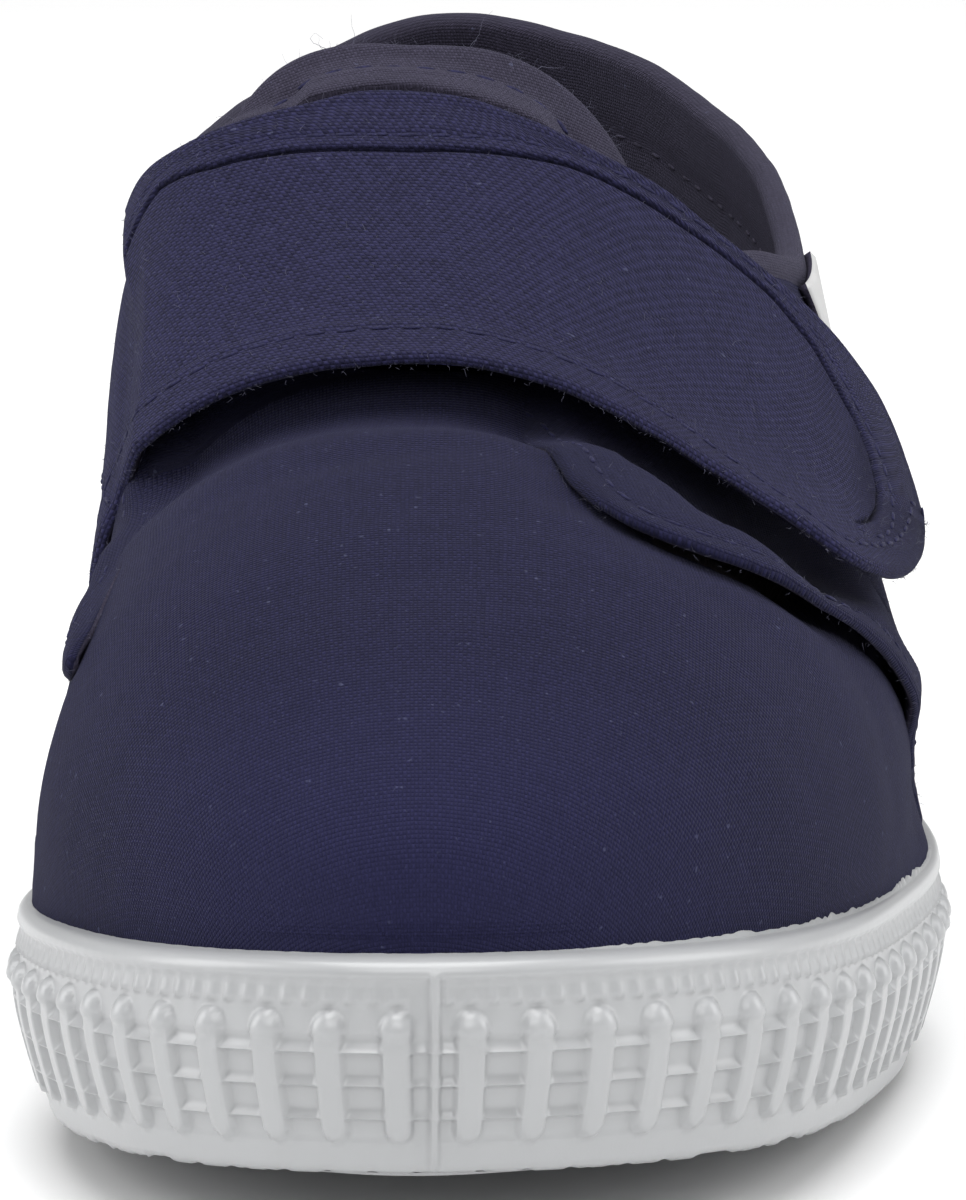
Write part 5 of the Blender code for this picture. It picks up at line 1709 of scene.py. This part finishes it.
class MakeUpper(bpy.types.Operator):
    """Lay the vamp, both quarters and the collar edge"""
    bl_idname = "strap_shoe.upper"
    bl_label = "Upper"

    def execute(self, context):
        finish_piece(build_vamp(), "canvas", ("upper",))
        finish_piece(build_quarter(OUTER_QUARTER), "canvas")
        finish_piece(build_quarter(INNER_QUARTER), "canvas")
        finish_piece(build_collar(), "tape")
        return {"FINISHED"}


class MakeTongue(bpy.types.Operator):
    """Lay the tongue"""
    bl_idname = "strap_shoe.tongue"
    bl_label = "Tongue"

    def execute(self, context):
        finish_piece(build_tongue(), "tape", ("tongue",))
        return {"FINISHED"}


class MakeStrap(bpy.types.Operator):
    """Lay the strap and both halves of its closure"""
    bl_idname = "strap_shoe.strap"
    bl_label = "Strap and closure"

    def execute(self, context):
        finish_piece(build_strap(), "strap_canvas", ("strap",))
        loop = build_pad("closure_loop", lambda girth: 0.45, 0.30, 71)
        hook = build_pad("closure_hook", lambda girth: read_table(STRAP, girth, 3) - 0.42, 0.25,
                         72)
        finish_piece(loop, "pile", ("loop_pad",))
        finish_piece(hook, "pile", ("hook_pad",))
        return {"FINISHED"}


class MakeLabel(bpy.types.Operator):
    """Lay the bare side label"""
    bl_idname = "strap_shoe.label"
    bl_label = "Side label"

    def execute(self, context):
        finish_piece(build_label(), "label", ("side_label",))
        return {"FINISHED"}


class MakeSewing(bpy.types.Operator):
    """Sew the rows and leave loose fibre on the edges"""
    bl_idname = "strap_shoe.sewing"
    bl_label = "Stitches and fibre"

    def execute(self, context):
        finish_piece(build_canvas_stitches(), "thread")
        finish_piece(build_lining_stitches(), "lining_thread")
        for item in build_fuzz():
            finish_piece(item, "strand")
        return {"FINISHED"}


class MakeStage(bpy.types.Operator):
    """Lay the floor, set the lamps and the camera"""
    bl_idname = "strap_shoe.stage"
    bl_label = "Stage"

    def execute(self, context):
        build_stage()
        return {"FINISHED"}


class StrapShoePanel(bpy.types.Panel):
    bl_idname = "STRAPSHOE_PT_pieces"
    bl_label = "Strap shoe"
    bl_space_type = "VIEW_3D"
    bl_region_type = "UI"
    bl_category = "Shoe"

    def draw(self, context):
        looks = context.scene.strap_shoe
        for name in StrapShoeSettings.__annotations__:
            self.layout.prop(looks, name)
        for maker in MAKERS:
            self.layout.operator(maker.bl_idname)


MAKERS = (MakeSole, MakeInside, MakeUpper, MakeTongue, MakeStrap, MakeLabel, MakeSewing,
          MakeStage)
CLASSES = (StrapShoeSettings, StrapShoePanel) + MAKERS


# ---- stage ------------------------------------------------------------------------
LAMPS = (
    # name, place, size, watts
    ("top_box", (0.0, -0.10, 0.95), (0.9, 0.9), 11.0),
    ("left_box", (-0.85, 0.05, 0.35), (0.5, 0.7), 3.6),
    ("right_box", (0.85, 0.05, 0.35), (0.5, 0.7), 3.2),
    ("front_box", (0.0, -0.86, 0.58), (0.9, 0.5), 4.0),
)
WORLD_LIGHT = 0.36
FLOOR_LEVEL = -0.0004    # just under the tread
CAMERA_TILT = 11.0       # degrees above the horizon
CAMERA_ROLL = -0.29
CAMERA_AWAY = 0.900
CAMERA_AIM = (-0.00143, 0.0, 0.035)
CAMERA_LENS = 350.6
CAMERA_SHIFT = (0.01492, -0.02475)


def lamp(name, place, size, power):
    """A soft box aimed at the shoe."""
    data = bpy.data.lights.new(name, "AREA")
    data.shape = "RECTANGLE"
    data.size, data.size_y = size
    data.energy = power
    item = add_object(name, data)
    item.location = place
    aim = Vector((0.0, 0.0, 0.03)) - Vector(place)
    item.rotation_euler = aim.to_track_quat("-Z", "Y").to_euler()


def build_stage():
    """The floor, the even light round it and the lamps."""
    looks = bpy.context.scene.strap_shoe
    work = bmesh.new()
    bmesh.ops.create_grid(work, x_segments=1, y_segments=1, size=6.0,
                          matrix=Matrix.Translation((0.0, 0.0, FLOOR_LEVEL)))
    floor = mesh_piece("floor", work)
    paper = Finish("paper")
    grain = paper.noise(paper.place, 40.0, 3.0)
    tint = paper.blend(grain, colour(looks.floor_colour, 0.995), colour(looks.floor_colour))
    floor.data.materials.append(paper.set(Base_Color=tint, Roughness=0.9))
    world = bpy.data.worlds.new("studio")
    bpy.context.scene.world = world
    world.use_nodes = True
    sky = world.node_tree.nodes["Background"]
    sky.inputs["Color"].default_value = (1.0, 1.0, 1.0, 1.0)
    sky.inputs["Strength"].default_value = WORLD_LIGHT
    bpy.context.scene.view_settings.view_transform = "Standard"
    for box in LAMPS:
        lamp(*box)
    build_camera()


def build_camera():
    """The camera in front of the toe, tilted down."""
    data = bpy.data.cameras.new("camera")
    camera = add_object("camera", data)
    tilt, roll = math.radians(CAMERA_TILT), math.radians(CAMERA_ROLL)
    back = Vector((0.0, -math.cos(tilt), math.sin(tilt)))
    side = Vector((1.0, 0.0, 0.0))
    up = back.cross(side)
    side, up = (side * math.cos(roll) + up * math.sin(roll),
                up * math.cos(roll) - side * math.sin(roll))
    turn = Matrix((side, up, back)).transposed().to_4x4()
    camera.matrix_world = Matrix.Translation(Vector(CAMERA_AIM) + back * CAMERA_AWAY) @ turn
    data.sensor_width = 36.0
    data.lens = CAMERA_LENS
    data.shift_x, data.shift_y = CAMERA_SHIFT
    data.clip_start, data.clip_end = 0.05, 30.0
    data.dof.use_dof = False
    bpy.context.scene.camera = camera


def register():
    for kind in CLASSES:
        bpy.utils.register_class(kind)
    bpy.types.Scene.strap_shoe = bpy.props.PointerProperty(type=StrapShoeSettings)


def unregister():
    del bpy.types.Scene.strap_shoe
    for kind in reversed(CLASSES):
        bpy.utils.unregister_class(kind)


def main():
    register()
    bpy.ops.strap_shoe.sole()
    bpy.ops.strap_shoe.inside()
    bpy.ops.strap_shoe.upper()
    bpy.ops.strap_shoe.tongue()
    bpy.ops.strap_shoe.strap()
    bpy.ops.strap_shoe.label()
    bpy.ops.strap_shoe.sewing()
    bpy.ops.strap_shoe.stage()


if __name__ == "__main__":
    main()
